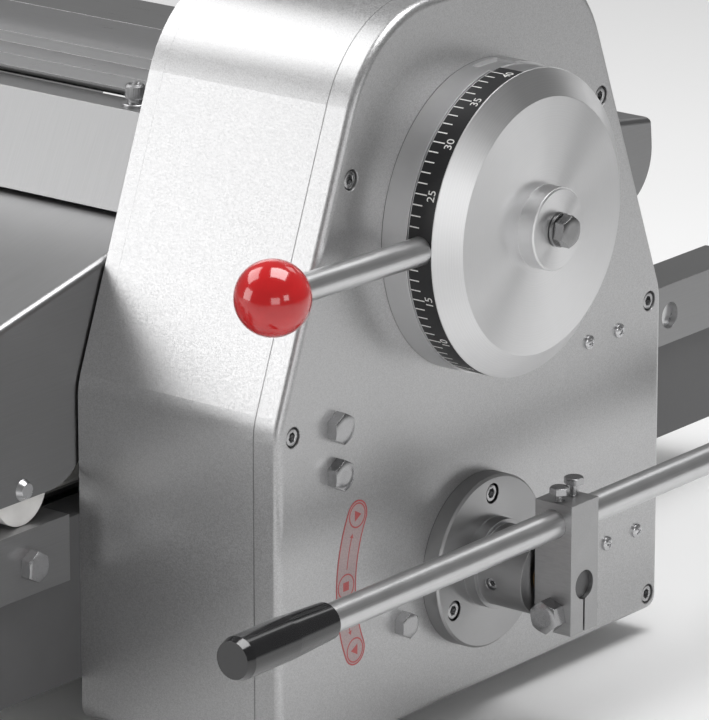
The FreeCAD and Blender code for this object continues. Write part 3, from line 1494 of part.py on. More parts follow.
def guard_block(name, hand, lift, corners, length, radius):
    """Block from a guard's profile, with the edges of its roof rounded."""
    block = extruded(name, [corners], length)
    place(block, hand * size.guard_pivot_place, mid_y - length / 2,
          level(size.guard_pivot_height), Rotation(Vector(0, 1, 0), -hand * lift.value))
    bend = along_y_at([corners[1]])
    cheek = roof_edges([corners[0], corners[1]], length)
    rounded(block, radius, lambda edge: bend(edge) or cheek(edge))
    return block


def swung(hand, lift, dx, dz):
    """Place of a point on a guard, dx outwards and dz up from its pivot, with the guard lifted."""
    out = dx * cosine(lift) - dz * sine(lift)
    rise = dx * sine(lift) + dz * cosine(lift)
    return (hand * (size.guard_pivot_place + out), level(size.guard_pivot_height + rise))


def guard(word, hand, lift):
    """Folded sheet with closed ends, with its wheels and their screws."""
    node = f"{word}_guard"
    corners = [(hand * x, z) for x, z in guard_corners()]
    length = size.work_width - 2 * size.guard_gap
    body = guard_block(node + "_sheet", hand, lift, corners, length, size.guard_edge_round)
    for radius, corner in ((size.guard_end_round, corners[2]),
                           (size.guard_outer_round, corners[3]),
                           (size.guard_skirt_round, corners[4])):
        rounded(body, radius, along_y_at([corner]))
    inside = [(hand * x, z) for x, z in guard_space_corners()]
    space = guard_block(node + "_space", hand, lift, inside, length - 2 * size.guard_wall,
                        size.guard_edge_round - size.guard_wall)

    hole_radius = size.guard_pin_radius + size.running_gap
    pins = cylinder(node + "_pin_hole", hole_radius, size.work_width,
                    hand * size.guard_pivot_place, depth(FRONT, 0), level(size.guard_pivot_height),
                    TO_REAR)
    wheel_out = size.wheel_place - size.guard_pivot_place
    wheel_drop = wheel_height - size.guard_pivot_height
    wheel_x, wheel_z = swung(hand, lift, wheel_out, wheel_drop)
    axles = cylinder(node + "_axle_hole", size.wheel_screw_radius + size.seat_gap, size.work_width,
                     wheel_x, depth(FRONT, 0), wheel_z, TO_REAR)
    keep(cut(node, body, [space, pins, axles]), node)

    shank = size.guard_wall + size.turning_gap + size.wheel_width + size.turning_gap
    screws = []
    for side, side_word, turn in ((FRONT, "front", TO_FRONT), (REAR, "rear", TO_REAR)):
        screws.append(turned(f"{word}_{side_word}_wheel_screw", [
            (0, -shank), (size.wheel_screw_radius, -shank), (size.wheel_screw_radius, 0),
            (size.wheel_screw_head, 0), (size.wheel_screw_head * 0.7, size.wheel_screw_head_length),
            (0, size.wheel_screw_head_length)],
            wheel_x, depth(side, -size.guard_gap), wheel_z, turn))
    keep(group(f"{word}_guard_screws", screws), f"{word}_guard_screws")

    wheels = []
    near = size.guard_gap + size.guard_wall + size.turning_gap
    for side, side_word in ((FRONT, "front"), (REAR, "rear")):
        low, wide = span(side, -near - size.wheel_width, -near)
        wheels.append(turned(f"{word}_{side_word}_wheel",
                             ring(size.wheel_screw_radius + size.running_gap, size.wheel_radius,
                                  0, wide), wheel_x, low, wheel_z, TO_REAR))
    keep(group(f"{word}_guard_wheels", wheels), f"{word}_guard_wheels")


def roof_edges(roof, length):
    """Test for the edges where the roof turns down into the end cheeks."""
    points = [(measure(x).value, measure(z).value) for x, z in roof]
    ends = (0.0, measure(length).value)

    def chosen(edge):
        start, end = edge.Vertexes[0].Point, edge.Vertexes[-1].Point
        if abs(start.y - end.y) > 1e-3 or min(abs(start.y - y) for y in ends) > 1e-3:
            return False
        return all(any(abs(point.x - x) + abs(point.z - z) < 1e-3 for x, z in points)
                   for point in (start, end))
    return chosen


def guard_pins():
    """Pivot pins of both guards, pressed into the frame plates."""
    pins = []
    length = size.frame_thick + size.guard_pin_length
    for side, side_word in ((FRONT, "front"), (REAR, "rear")):
        low, _ = span(side, -size.guard_pin_length, size.frame_thick)
        for hand, word in ((LEFT, "left"), (RIGHT, "right")):
            pins.append(cylinder(f"{word}_{side_word}_pin", size.guard_pin_radius, length,
                                 hand * size.guard_pivot_place, low,
                                 level(size.guard_pivot_height), TO_REAR))
    keep(group("guard_pins", pins), "guard_pins")


def top_bridge():
    """Stepped sheet cover between the housings, open below."""
    wall = size.bridge_wall
    low, step, top = size.bridge_low, size.bridge_step, size.bridge_top
    wide, middle, narrow = size.bridge_low_half, size.bridge_step_half, size.bridge_top_half
    outer = [(wide, low - wall), (wide, low), (middle, low), (middle, step), (narrow, step),
             (narrow, top)]
    inner = [(narrow - wall, top - wall), (narrow - wall, step - wall),
             (middle - wall, step - wall), (middle - wall, low - wall)]
    right = outer + [(-x, z) for x, z in reversed(outer)]
    left = [(-x, z) for x, z in reversed(inner)] + inner
    body = extruded("top_bridge", [right + left], size.work_width)
    keep(place(body, 0, depth(FRONT, 0), size.foot_height), "top_bridge")


def write_parts():
    """Check every object of the document, then write each sub-part."""
    DOC.recompute()
    for thing in DOC.Objects:
        if "Invalid" in thing.State or "Error" in thing.State:
            raise RuntimeError(f"{thing.Name} failed: {thing.State}")
    for node in NODES:
        if node.Shape.isNull() or not node.Shape.isValid() or not node.Shape.Solids:
            raise RuntimeError(f"{node.Label} has no valid solid")
    os.makedirs("parts", exist_ok=True)
    for node in NODES:
        node.Shape.exportStep(f"parts/{node.Label}.step")


def main():
    side_plates()
    cover_shells()
    frame_plates()
    feet()
    cap_screws()
    pan_screws()
    hex_bolts()
    dial_parts()
    dial_shaft()
    shaft_bushes()
    gap_drive()
    carriages()
    rollers()
    sprockets()
    scrapers()
    motor()
    chains()
    lever_mount()
    lever_parts()
    reversing_switches()
    tables()
    drums()
    roller_covers()
    guard("left", LEFT, size.left_guard_lift)
    guard("right", RIGHT, size.right_guard_lift)
    guard_pins()
    top_bridge()
    write_parts()


main()
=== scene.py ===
"""Finishes, printed marks, screw heads and a studio for a reversible dough sheeter."""

import json
import math

import bmesh
import bpy
import numpy as np
from bpy.props import FloatProperty, FloatVectorProperty, PointerProperty
from mathutils import Matrix, Vector


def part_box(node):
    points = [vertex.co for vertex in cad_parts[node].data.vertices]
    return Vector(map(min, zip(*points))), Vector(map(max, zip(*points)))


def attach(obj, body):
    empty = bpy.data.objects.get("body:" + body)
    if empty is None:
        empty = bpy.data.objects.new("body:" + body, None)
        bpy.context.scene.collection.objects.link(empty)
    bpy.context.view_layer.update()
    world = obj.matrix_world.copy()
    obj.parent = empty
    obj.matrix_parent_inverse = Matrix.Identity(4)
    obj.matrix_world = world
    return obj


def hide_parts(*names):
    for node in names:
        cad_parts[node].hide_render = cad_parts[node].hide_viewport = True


bl_info = {
    "name": "Reversible dough sheeter",
    "version": (1, 0, 0),
    "blender": (4, 5, 0),
    "location": "View3D > Sidebar > Sheeter",
    "description": "Finishes, printed marks, screw heads and a studio for a table-top dough sheeter",
    "category": "Object",
}

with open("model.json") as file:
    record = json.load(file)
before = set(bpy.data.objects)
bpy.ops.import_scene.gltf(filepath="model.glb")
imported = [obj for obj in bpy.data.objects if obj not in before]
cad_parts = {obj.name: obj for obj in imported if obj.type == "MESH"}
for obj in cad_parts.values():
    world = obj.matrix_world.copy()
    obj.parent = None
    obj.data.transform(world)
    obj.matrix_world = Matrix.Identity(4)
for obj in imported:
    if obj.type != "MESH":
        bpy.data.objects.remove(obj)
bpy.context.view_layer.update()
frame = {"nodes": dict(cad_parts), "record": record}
NODES = frame["nodes"]
SLOT_OF = {item["node"]: item["material_slot"] for item in frame["record"]["subparts"]}

PLATE_FACE = -0.385
PLATE_BACKS = (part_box("front_side_plate")[1].y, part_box("rear_side_plate")[0].y)
REAR_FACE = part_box("rear_side_plate")[1].y
DIAL_AXIS = (0.0, 0.353)
LEVER_AXIS = (0.0, 0.1115)
BAND_RADIUS = 0.1039
BAND_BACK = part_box("dial_scale_band")[1].y
TO_FRONT = (0, -1, 0)
TO_REAR = (0, 1, 0)
TO_LEFT = (-1, 0, 0)
TO_RIGHT = (1, 0, 0)
UPWARD = (0, 0, 1)
FULL_SCALE = 40
NUMBER_STEP = 5
LETTER_SHARE = 0.72
HANDLE_ANGLE = math.radians(178.7)
HANDLE_CLEAR = math.radians(6.2)
TICK_INSET = 0.0004

BOLT_FLATS = 0.019
BOLT_HEIGHT = 0.008
PLATE_BOLTS = ((-0.152, 0.210), (-0.152, 0.242))
LOWER_BOLT = (-0.082, 0.087)
LOWER_BOLT_FLATS = 0.016
RAIL_BOLTS = (-0.267, 0.267)
RAIL_BOLT_HEIGHT = 0.143
DIAL_BOLT_TURN = 0.35
DIAL_WASHER_THICK = 0.003
DIAL_STUD_RADIUS = 0.0064
CLAMP_BOLT_Y = -0.460
CLAMP_BOLT_DROP = 0.020
CLAMP_BOLT_TILT = 0.2
CLAMP_HALF_WIDTH = 0.015
CLAMP_HEAD_FLATS = 0.020
CLAMP_HEAD_HEIGHT = 0.0115
CLAMP_STUD = ((0, 0), (0.006, 0), (0.006, 0.0096), (0.0054, 0.0102), (0, 0.0102))
SET_SCREWS = ((-0.0085, 0.3, 0.0050), (0.0075, 0.9, 0.0080))
SET_SCREW_FLATS = 0.0120
SET_SCREW_HEIGHT = 0.0048
SET_SCREW_RADIUS = 0.003
THREAD_ROWS = 13
THREAD_DEPTH = 0.0002
PLATE_SCREWS = ((0.137, 0.405), (0.197, 0.246), (0.200, 0.030))
FLANGE_FACE = -0.398
FLANGE_RING = 0.048
FLANGE_SCREW_LENGTH = 0.004
HUB_RADIUS = 0.0265
HUB_SCREW_Y = -0.418
HUB_SCREW_SLOPE = math.radians(10)
HUB_SCREW_HEAD = 0.008
PAN_SCREWS = ((0.126, 0.233, 0.3), (0.161, 0.233, 0.8), (0.150, 0.081, 0.1), (0.185, 0.081, 0.55))
PAN_RADIUS = 0.005
PAN_HEIGHT = 0.0032
THUMB_PLACES = (-0.086, 0.086)
THUMB_INSET = 0.011

# Dark grey that stands in for the shade on the silver-painted base beams: painted shade
SHADED_BEAM_GREY = (0.11, 0.11, 0.112, 1)
SHOP_GREY = (0.20, 0.21, 0.22, 1)
# Sheet grey lightened for the bridge: painted light on its flats
LIT_BRIDGE_GREY = (0.56, 0.56, 0.563, 1)
SHAFT_GREY = (0.14, 0.14, 0.142, 1)
ROD_GREY = (0.62, 0.62, 0.625, 1)
ZINC_GREY = (0.55, 0.55, 0.56, 1)
CHAIN_GREY = (0.30, 0.30, 0.31, 1)
BRONZE = (0.58, 0.38, 0.17, 1)
BOLT_GREY = (0.40, 0.40, 0.405, 1)
DIAL_BOLT_GREY = (0.27, 0.27, 0.272, 1)
SCREW_GREY = (0.44, 0.44, 0.445, 1)
PAN_GREY = (0.60, 0.60, 0.61, 1)
NYLON_WHITE = (0.80, 0.79, 0.77, 1)
CLOTH_WHITE = (0.78, 0.77, 0.74, 1)
RUBBER_BLACK = (0.022, 0.022, 0.022, 1)
CASE_BLACK = (0.03, 0.03, 0.032, 1)
BAND_BLACK = (0.012, 0.012, 0.013, 1)
INK_WHITE = (0.82, 0.82, 0.80, 1)
INK_WASH = (0.42, 0.33, 0.33, 1)
JOINT_DARK = (0.10, 0.10, 0.10, 1)
# Dark grey of the painted shade on brushed sheet faces that look along one axis
PAINTED_SHADE_GREY = (0.12, 0.12, 0.121, 1)

FLOOR_REACH = 14.0
FLOOR_POINTS = 15
LAMP_AIM = (0, -0.1, 0.25)
LAMPS = (
    ("top", (1.7, 1.7), (0.4, -0.7, 2.8)),
    ("side", (2.4, 2.4), (-4.0, 3.1, 1.35)),
    ("back", (2.2, 1.4), (-0.55, 1.7, 2.4)),
    ("right", (0.8, 0.8), (2.25, -0.3, 2.2)),
    ("front", (0.8, 0.8), (-0.77, -3.4, 1.06)),
    ("left", (1.4, 1.0), (-2.4, -2.7, 0.75)),
)


# Settings a user would change


class SheeterFinishes(bpy.types.PropertyGroup):
    """Colours and gloss of the painted, bare and moulded pieces."""

    paint: FloatVectorProperty(
        name="Paint", description="Silver paint on the plates and covers", subtype="COLOR",
        size=4, min=0, max=1, default=(0.50, 0.50, 0.503, 1))
    sheet: FloatVectorProperty(
        name="Sheet", description="Brushed sheet of the guards and covers", subtype="COLOR",
        size=4, min=0, max=1, default=(0.40, 0.40, 0.403, 1))
    dial: FloatVectorProperty(
        name="Dial", description="Turned aluminium of the dial", subtype="COLOR",
        size=4, min=0, max=1, default=(0.72, 0.72, 0.724, 1))
    steel: FloatVectorProperty(
        name="Steel", description="Machined steel of the flange and the block", subtype="COLOR",
        size=4, min=0, max=1, default=(0.40, 0.40, 0.403, 1))
    knob: FloatVectorProperty(
        name="Knob", description="Moulded ball on the dial's handle", subtype="COLOR",
        size=4, min=0, max=1, default=(0.57, 0.009, 0.011, 1))
    grip: FloatVectorProperty(
        name="Grip", description="Moulded grips of the lever", subtype="COLOR",
        size=4, min=0, max=1, default=(0.008, 0.008, 0.009, 1))
    marking: FloatVectorProperty(
        name="Marking", description="Printed lines of the direction marking", subtype="COLOR",
        size=4, min=0, max=1, default=(0.46, 0.09, 0.09, 1))
    paint_gloss: FloatProperty(
        name="Paint roughness", description="Roughness of the silver paint", subtype="FACTOR",
        min=0, max=1, default=0.36)
    paint_edge: FloatProperty(
        name="Paint edge", description="Radius at which painted edges catch the light",
        subtype="DISTANCE", min=0, default=0.0014)
    seam: FloatProperty(
        name="Seam", description="Width of the dark joint between a side plate and its cover",
        subtype="DISTANCE", min=0, default=0.0008)
    edge_round: FloatProperty(
        name="Edge round", description="Radius at which sharp edges catch the light",
        subtype="DISTANCE", min=0, default=0.0006)


class SheeterMarks(bpy.types.PropertyGroup):
    """Sizes of the printed scale and of the direction marking."""

    short_tick: FloatProperty(
        name="Short tick", description="Length of the mark for one millimetre of gap",
        subtype="DISTANCE", min=0, default=0.0080)
    long_tick: FloatProperty(
        name="Long tick", description="Length of the mark for five millimetres of gap",
        subtype="DISTANCE", min=0, default=0.0098)
    tick_width: FloatProperty(
        name="Tick width", description="Width of a mark", subtype="DISTANCE", min=0,
        default=0.0008)
    numeral: FloatProperty(
        name="Numeral", description="Height of the numbers", subtype="DISTANCE", min=0,
        default=0.0060)
    numeral_place: FloatProperty(
        name="Numeral place", description="Middle of the numbers from the band's rear edge",
        subtype="DISTANCE", min=0, default=0.0138)
    first_angle: FloatProperty(
        name="First angle", description="Place of the number 40 round the dial",
        subtype="ANGLE", default=math.radians(98.4))
    tick_angle: FloatProperty(
        name="Tick angle", description="Turn of the dial for one millimetre of gap",
        subtype="ANGLE", default=math.radians(4))
    arc_centre: FloatVectorProperty(
        name="Arc centre", description="Centre of the direction marking's curve on the plate",
        unit="LENGTH", size=2, default=(-0.0355, 0.1266))
    arc_radius: FloatProperty(
        name="Arc radius", description="Middle line of the direction marking from its centre",
        subtype="DISTANCE", min=0, default=0.1068)
    arc_width: FloatProperty(
        name="Arc width", description="Width of the direction marking", subtype="DISTANCE",
        min=0, default=0.020)
    arc_low: FloatProperty(
        name="Arc low", description="Lower end of the direction marking", subtype="ANGLE",
        default=math.radians(-29.6))
    arc_high: FloatProperty(
        name="Arc high", description="Upper end of the direction marking", subtype="ANGLE",
        default=math.radians(32.8))
    print_depth: FloatProperty(
        name="Print depth", description="Thickness of the printed layers", subtype="DISTANCE",
        min=0, default=0.0001)


class SheeterStudio(bpy.types.PropertyGroup):
    """Camera, lamps and floor."""

    eye: FloatVectorProperty(
        name="Eye", description="Place of the camera", subtype="XYZ", unit="LENGTH", size=3,
        default=(-3.02654, -2.66594, 1.41856))
    azimuth: FloatProperty(
        name="Azimuth", description="Turn of the camera to the left of the front",
        subtype="ANGLE", default=math.radians(-51.75))
    elevation: FloatProperty(
        name="Elevation", description="Height of the camera above the horizon", subtype="ANGLE",
        default=math.radians(17.13))
    lens: FloatProperty(
        name="Lens", description="Focal length on a 36 mm sensor", unit="CAMERA", min=1,
        default=296.58)
    top_power: FloatProperty(
        name="Top", description="Large lamp overhead", unit="POWER", min=0, default=58.0)
    side_power: FloatProperty(
        name="Side", description="Low lamp to the left and behind", unit="POWER", min=0,
        default=62.0)
    back_power: FloatProperty(
        name="Back", description="High lamp behind", unit="POWER", min=0, default=33.0)
    right_power: FloatProperty(
        name="Right", description="Small lamp high on the right", unit="POWER", min=0,
        default=3.0)
    front_power: FloatProperty(
        name="Front", description="Low lamp in front", unit="POWER", min=0, default=7.0)
    left_power: FloatProperty(
        name="Left", description="Low lamp to the left and in front", unit="POWER", min=0,
        default=12.0)
    surround: FloatProperty(
        name="Surround", description="Even light from all round", min=0, default=0.20)
    floor: FloatVectorProperty(
        name="Floor", description="Pale floor and backdrop", subtype="COLOR", size=4, min=0,
        max=1, default=(0.92, 0.92, 0.92, 1))


# Materials


def fill(node, **values):
    """Sets the node's sockets by name, with an underscore for each space."""
    for key, value in values.items():
        node.inputs[key.replace("_", " ")].default_value = value


class Finish:
    """A material on Object coordinates, with short calls for the nodes that its pattern needs."""

    def __init__(self, name, colour, roughness, metallic=0.0):
        self.material = bpy.data.materials.new(name)
        self.material.use_nodes = True
        self.tree = self.material.node_tree
        self.surface = self.tree.nodes["Principled BSDF"]
        fill(self.surface, Base_Color=colour, Roughness=roughness, Metallic=metallic)
        self.place = self.add("ShaderNodeTexCoord").outputs["Object"]
        self.colour = colour
        self.roughness = roughness

    def add(self, kind, **settings):
        node = self.tree.nodes.new(kind)
        for key, value in settings.items():
            setattr(node, key, value)
        return node

    def join(self, source, target):
        self.tree.links.new(source, target)

    def moved(self, shift=(0, 0, 0), stretch=(1, 1, 1)):
        """Object coordinates after a shift and a stretch."""
        mapping = self.add("ShaderNodeMapping")
        fill(mapping, Location=shift, Scale=stretch)
        self.join(self.place, mapping.inputs["Vector"])
        return mapping.outputs["Vector"]

    def noise(self, scale, detail=2.0, stretch=(1, 1, 1)):
        node = self.add("ShaderNodeTexNoise")
        fill(node, Scale=scale, Detail=detail)
        self.join(self.moved(stretch=stretch), node.inputs["Vector"])
        return node.outputs["Fac"]

    def cells(self, scale):
        """A random grey for each small cell."""
        node = self.add("ShaderNodeTexVoronoi")
        fill(node, Scale=scale)
        self.join(self.place, node.inputs["Vector"])
        grey = self.add("ShaderNodeRGBToBW")
        self.join(node.outputs["Color"], grey.inputs["Color"])
        return grey.outputs["Val"]

    def ranged(self, value, low, high):
        """Low to high as value goes from a quarter to three quarters."""
        node = self.add("ShaderNodeMapRange")
        fill(node, From_Min=0.25, From_Max=0.75, To_Min=low, To_Max=high)
        self.join(value, node.inputs["Value"])
        return node.outputs["Result"]

    def maths(self, operation, first, second=0.0):
        node = self.add("ShaderNodeMath", operation=operation)
        for socket, item in zip(node.inputs, (first, second)):
            if isinstance(item, (int, float)):
                socket.default_value = item
            else:
                self.join(item, socket)
        return node.outputs["Value"]

    def mixed(self, first, second, share):
        """first times share plus second times 1 - share."""
        return self.maths("ADD", self.maths("MULTIPLY", first, share),
                          self.maths("MULTIPLY", second, 1 - share))

    def part(self, letter):
        """One of the Object coordinates X, Y and Z."""
        parts = self.add("ShaderNodeSeparateXYZ")
        self.join(self.place, parts.inputs["Vector"])
        return parts.outputs[letter]

    def mixer(self):
        """Factor, the two colours and the result of a node that mixes colours."""
        node = self.add("ShaderNodeMix", data_type="RGBA")
        colours = [socket for socket in node.inputs if socket.type == "RGBA"]
        result = [socket for socket in node.outputs if socket.type == "RGBA"][0]
        return node.inputs["Factor"], colours, result

    def tint(self, value, spread):
        """Base colour times 1 - spread to 1 + spread, as value goes from low to high."""
        factor, colours, result = self.mixer()
        for socket, share in zip(colours, (1 - spread, 1 + spread)):
            socket.default_value = [min(1.0, c * share) for c in self.colour[:3]] + [1]
        self.join(self.ranged(value, 0, 1), factor)
        self.join(result, self.surface.inputs["Base Color"])

    def gloss(self, value, spread):
        """Roughness minus spread to plus spread, as value goes from low to high."""
        low = max(0.02, self.roughness - spread)
        self.join(self.ranged(value, low, self.roughness + spread),
                  self.surface.inputs["Roughness"])

    def relief(self, height, depth, edge=0.0):
        """Raises the surface by depth times height, with edges rounded to the radius edge."""
        node = self.add("ShaderNodeBump")
        fill(node, Strength=1.0, Distance=depth)
        self.join(height, node.inputs["Height"])
        if edge > 0:
            soft = self.add("ShaderNodeBevel", samples=4)
            fill(soft, Radius=edge)
            self.join(soft.outputs["Normal"], node.inputs["Normal"])
        self.join(node.outputs["Normal"], self.surface.inputs["Normal"])

    def overlay(self, mask, colour, share):
        """Blends the base colour towards colour by share where mask is 1."""
        factor, colours, result = self.mixer()
        target = self.surface.inputs["Base Color"]
        self.join(target.links[0].from_socket, colours[0])
        colours[1].default_value = colour
        self.join(self.maths("MULTIPLY", mask, share), factor)
        self.join(result, target)

    def near(self, value, place, half):
        """1 where value is within half of place, and 0 elsewhere."""
        away = self.maths("ABSOLUTE", self.maths("SUBTRACT", value, place))
        return self.maths("LESS_THAN", away, half)

    def wheel_tangent(self, axis_place):
        """Tangent that runs round the Y axis through axis_place, as the marks of turning do."""
        x, z = axis_place
        arm = self.moved(shift=(-x, 0, -z), stretch=(1, 0, 1))
        cross = self.add("ShaderNodeVectorMath", operation="CROSS_PRODUCT")
        self.join(arm, cross.inputs[0])
        cross.inputs[1].default_value = (0, 1, 0)
        self.join(cross.outputs["Vector"], self.surface.inputs["Tangent"])
        length = self.add("ShaderNodeVectorMath", operation="LENGTH")
        self.join(arm, length.inputs[0])
        return length.outputs["Value"]


def settings():
    """The finishes that the user has set."""
    return bpy.context.scene.sheeter_finishes


def speckled_paint(name, colour, roughness, edge):
    """Silver paint: fine flakes of lighter and darker grey under a faint orange-peel skin."""
    finish = Finish(name, colour, roughness, metallic=0.85)
    flakes = finish.cells(1500)
    cloud = finish.noise(4, detail=3)
    finish.tint(finish.mixed(flakes, cloud, 0.7), 0.13)
    depth = finish.part("Y")
    half = settings().seam / 2
    joint = finish.maths("ADD", finish.near(depth, PLATE_BACKS[0], half),
                         finish.near(depth, PLATE_BACKS[1], half))
    finish.overlay(joint, JOINT_DARK, 0.5)
    finish.gloss(flakes, 0.06)
    finish.relief(finish.noise(700, detail=1), 0.00004, edge)
    return finish.material


def plain_paint(name, colour):
    """Plain paint, a little uneven: shop paint inside the housings, and the base beams' dark grey that
    is painted shade.
    """
    finish = Finish(name, colour, 0.5)
    cloud = finish.noise(25, detail=4)
    finish.tint(cloud, 0.10)
    finish.gloss(cloud, 0.08)
    finish.relief(finish.noise(500, detail=1), 0.00004, settings().edge_round)
    return finish.material


def brushed_sheet(name, colour, roughness, along, shaded_axis, share):
    """Brushed sheet: long thin streaks, level on the sides, and painted shade that darkens the faces
    looking along the given axis towards a dark grey by share.
    """
    finish = Finish(name, colour, roughness, metallic=1.0)
    over = finish.noise(1.0, stretch=(30, 1600, 30) if along == "X" else (1600, 30, 1600))
    side = finish.noise(1.0, stretch=(30, 30, 1600))
    facing = finish.add("ShaderNodeSeparateXYZ")
    geometry = finish.add("ShaderNodeNewGeometry")
    finish.join(geometry.outputs["True Normal"], facing.inputs["Vector"])
    flat = finish.maths("GREATER_THAN", finish.maths("ABSOLUTE", facing.outputs["Y"]), 0.7)
    picked = finish.maths("ADD", finish.maths("MULTIPLY", side, flat),
                          finish.maths("MULTIPLY", over, finish.maths("SUBTRACT", 1.0, flat)))
    cloud = finish.noise(9, detail=3)
    mixed = finish.mixed(picked, cloud, 0.7)
    finish.tint(mixed, 0.07)
    # Painted shade: faces that look along the given axis are blended towards a dark grey
    painted_shade_faces = finish.maths("GREATER_THAN", finish.maths("ABSOLUTE", facing.outputs[shaded_axis]), 0.7)
    finish.overlay(painted_shade_faces, PAINTED_SHADE_GREY, share)
    finish.gloss(mixed, 0.04)
    finish.relief(picked, 0.000012, settings().edge_round)
    return finish.material


def turned_face(name, colour, roughness, axis_place, joint):
    """Turned metal: fine rings about the axis, and a dark joint where it stands on the plate."""
    finish = Finish(name, colour, roughness, metallic=1.0)
    fill(finish.surface, Anisotropic=0.9)
    radius = finish.wheel_tangent(axis_place)
    rings = finish.add("ShaderNodeTexNoise", noise_dimensions="1D")
    fill(rings, Scale=1800.0)
    finish.join(radius, rings.inputs["W"])
    streak = finish.noise(40, detail=3)
    uneven = finish.mixed(rings.outputs["Fac"], streak, 0.6)
    finish.tint(uneven, 0.06)
    finish.overlay(finish.near(finish.part("Y"), joint, settings().seam / 2), JOINT_DARK, 0.7)
    finish.gloss(uneven, 0.05)
    finish.relief(rings.outputs["Fac"], 0.000004, settings().edge_round)
    return finish.material


def machined_steel(name, colour, roughness):
    """Machined steel: close tool marks and faint cloudy stains."""
    finish = Finish(name, colour, roughness, metallic=1.0)
    marks = finish.noise(1.0, stretch=(900, 120, 900))
    cloud = finish.noise(45, detail=4)
    mixed = finish.mixed(marks, cloud, 0.5)
    finish.tint(mixed, 0.14)
    finish.gloss(mixed, 0.07)
    finish.relief(marks, 0.00003, settings().edge_round)
    return finish.material


def drawn_rod(name, colour, roughness):
    """Drawn bright steel: faint lines along the rod."""
    finish = Finish(name, colour, roughness, metallic=1.0)
    lines = finish.noise(1.0, stretch=(25, 1100, 1100))
    cloud = finish.noise(70, detail=3)
    mixed = finish.mixed(lines, cloud, 0.6)
    finish.tint(mixed, 0.08)
    finish.gloss(mixed, 0.05)
    finish.relief(lines, 0.000012, settings().edge_round)
    return finish.material


def plated_steel(name, colour, roughness):
    """Zinc plate: small crystals with a slightly uneven gloss."""
    finish = Finish(name, colour, roughness, metallic=1.0)
    crystals = finish.cells(700)
    cloud = finish.noise(180, detail=3)
    mixed = finish.mixed(crystals, cloud, 0.4)
    finish.tint(mixed, 0.08)
    finish.gloss(mixed, 0.05)
    finish.relief(cloud, 0.000008, 0.0004)
    return finish.material


def moulded(name, colour, roughness, coat):
    """Moulded plastic: a smooth body with very slight waves, and a clear skin where it is polished."""
    finish = Finish(name, colour, roughness)
    fill(finish.surface, Coat_Weight=coat, Coat_Roughness=0.05)
    cloud = finish.noise(55, detail=3)
    finish.tint(cloud, 0.10)
    finish.gloss(cloud, 0.04)
    finish.relief(finish.noise(90, detail=1), 0.00004, settings().edge_round)
    return finish.material


def woven_belt(name, colour):
    """Belt cloth: threads along and across the belt under a worn surface."""
    finish = Finish(name, colour, 0.75)
    warp = finish.maths("SINE", finish.maths("MULTIPLY", finish.part("X"), 4200.0))
    weft = finish.maths("SINE", finish.maths("MULTIPLY", finish.part("Y"), 4200.0))
    weave = finish.maths("MULTIPLY", warp, weft)
    cloud = finish.noise(14, detail=4)
    finish.tint(finish.maths("ADD", finish.maths("MULTIPLY", weave, 0.12), cloud), 0.08)
    finish.relief(weave, 0.00005, 0.0004)
    return finish.material


def printed(name, colour, roughness=0.5):
    """Printed ink: a matt layer, a little thin in places."""
    finish = Finish(name, colour, roughness)
    thin = finish.noise(800)
    finish.tint(thin, 0.15)
    finish.gloss(thin, 0.06)
    return finish.material


# Meshes


def grid_faces(rows, columns, close_rows=False, close_columns=True):
    """Corner numbers of the quads of a rows by columns grid, closed over either edge on request."""
    row = np.arange(rows if close_rows else rows - 1)
    column = np.arange(columns if close_columns else columns - 1)
    r, c = np.meshgrid(row, column, indexing="ij")
    r_next = (r + 1) % rows
    c_next = (c + 1) % columns
    quads = np.stack([r * columns + c, r * columns + c_next,
                      r_next * columns + c_next, r_next * columns + c], axis=-1)
    return quads.reshape(-1, 4)


def shell(name, parts, material, sharp=35.0):
    """One object from several (points, faces) parts: poles merged, faces outwards, edges kept sharp."""
    built = bmesh.new()
    for points, faces in parts:
        piece = bpy.data.meshes.new("part")
        piece.from_pydata(np.asarray(points, float).tolist(), [], [list(map(int, f)) for f in faces])
        merged = bmesh.new()
        merged.from_mesh(piece)
        bmesh.ops.remove_doubles(merged, verts=merged.verts, dist=1e-7)
        bmesh.ops.dissolve_degenerate(merged, edges=merged.edges, dist=1e-8)
        bmesh.ops.recalc_face_normals(merged, faces=merged.faces)
        merged.to_mesh(piece)
        merged.free()
        built.from_mesh(piece)
        bpy.data.meshes.remove(piece)
    mesh = bpy.data.meshes.new(name)
    built.to_mesh(mesh)
    built.free()
    mesh.shade_smooth()
    mesh.set_sharp_from_angle(angle=math.radians(sharp))
    mesh.materials.append(material)
    thing = bpy.data.objects.new(name, mesh)
    bpy.context.scene.collection.objects.link(thing)
    return thing


def axes_for(axis, zero):
    """Unit vectors along the axis, towards the zero angle and a quarter turn on from it."""
    along = np.asarray(axis, float)
    start = np.asarray(zero, float)
    return along, start, np.cross(along, start)


def around(radius, height, angles, centre, axis, zero):
    """Points centre + radius cos(a) u + radius sin(a) v + height w, for rows of radius and height."""
    w, u, v = axes_for(axis, zero)
    radius, height, angles = np.broadcast_arrays(radius, height, angles)
    points = (np.asarray(centre, float) + (radius * np.cos(angles))[..., None] * u
              + (radius * np.sin(angles))[..., None] * v + height[..., None] * w)
    return points.reshape(-1, 3), grid_faces(*radius.shape)


def full_turn(steps):
    """Angles of one turn in equal steps."""
    return np.linspace(0, 2 * math.pi, steps, endpoint=False)


def hexagon(angles, flats):
    """Reach of a hexagon, r(a) = flats / 2 / cos(a mod 60 - 30 degrees)."""
    return flats / 2 / np.cos(np.mod(angles, math.pi / 3) - math.pi / 6)


def lathe(rows, angles, centre, axis, zero):
    """Rows of (reach, height), each one value or one for every angle, carried once round the axis."""
    level = 0 * angles
    reach = np.stack([level + row[0] for row in rows])
    rise = np.stack([level + row[1] for row in rows])
    return around(reach, rise, angles, centre, axis, zero)


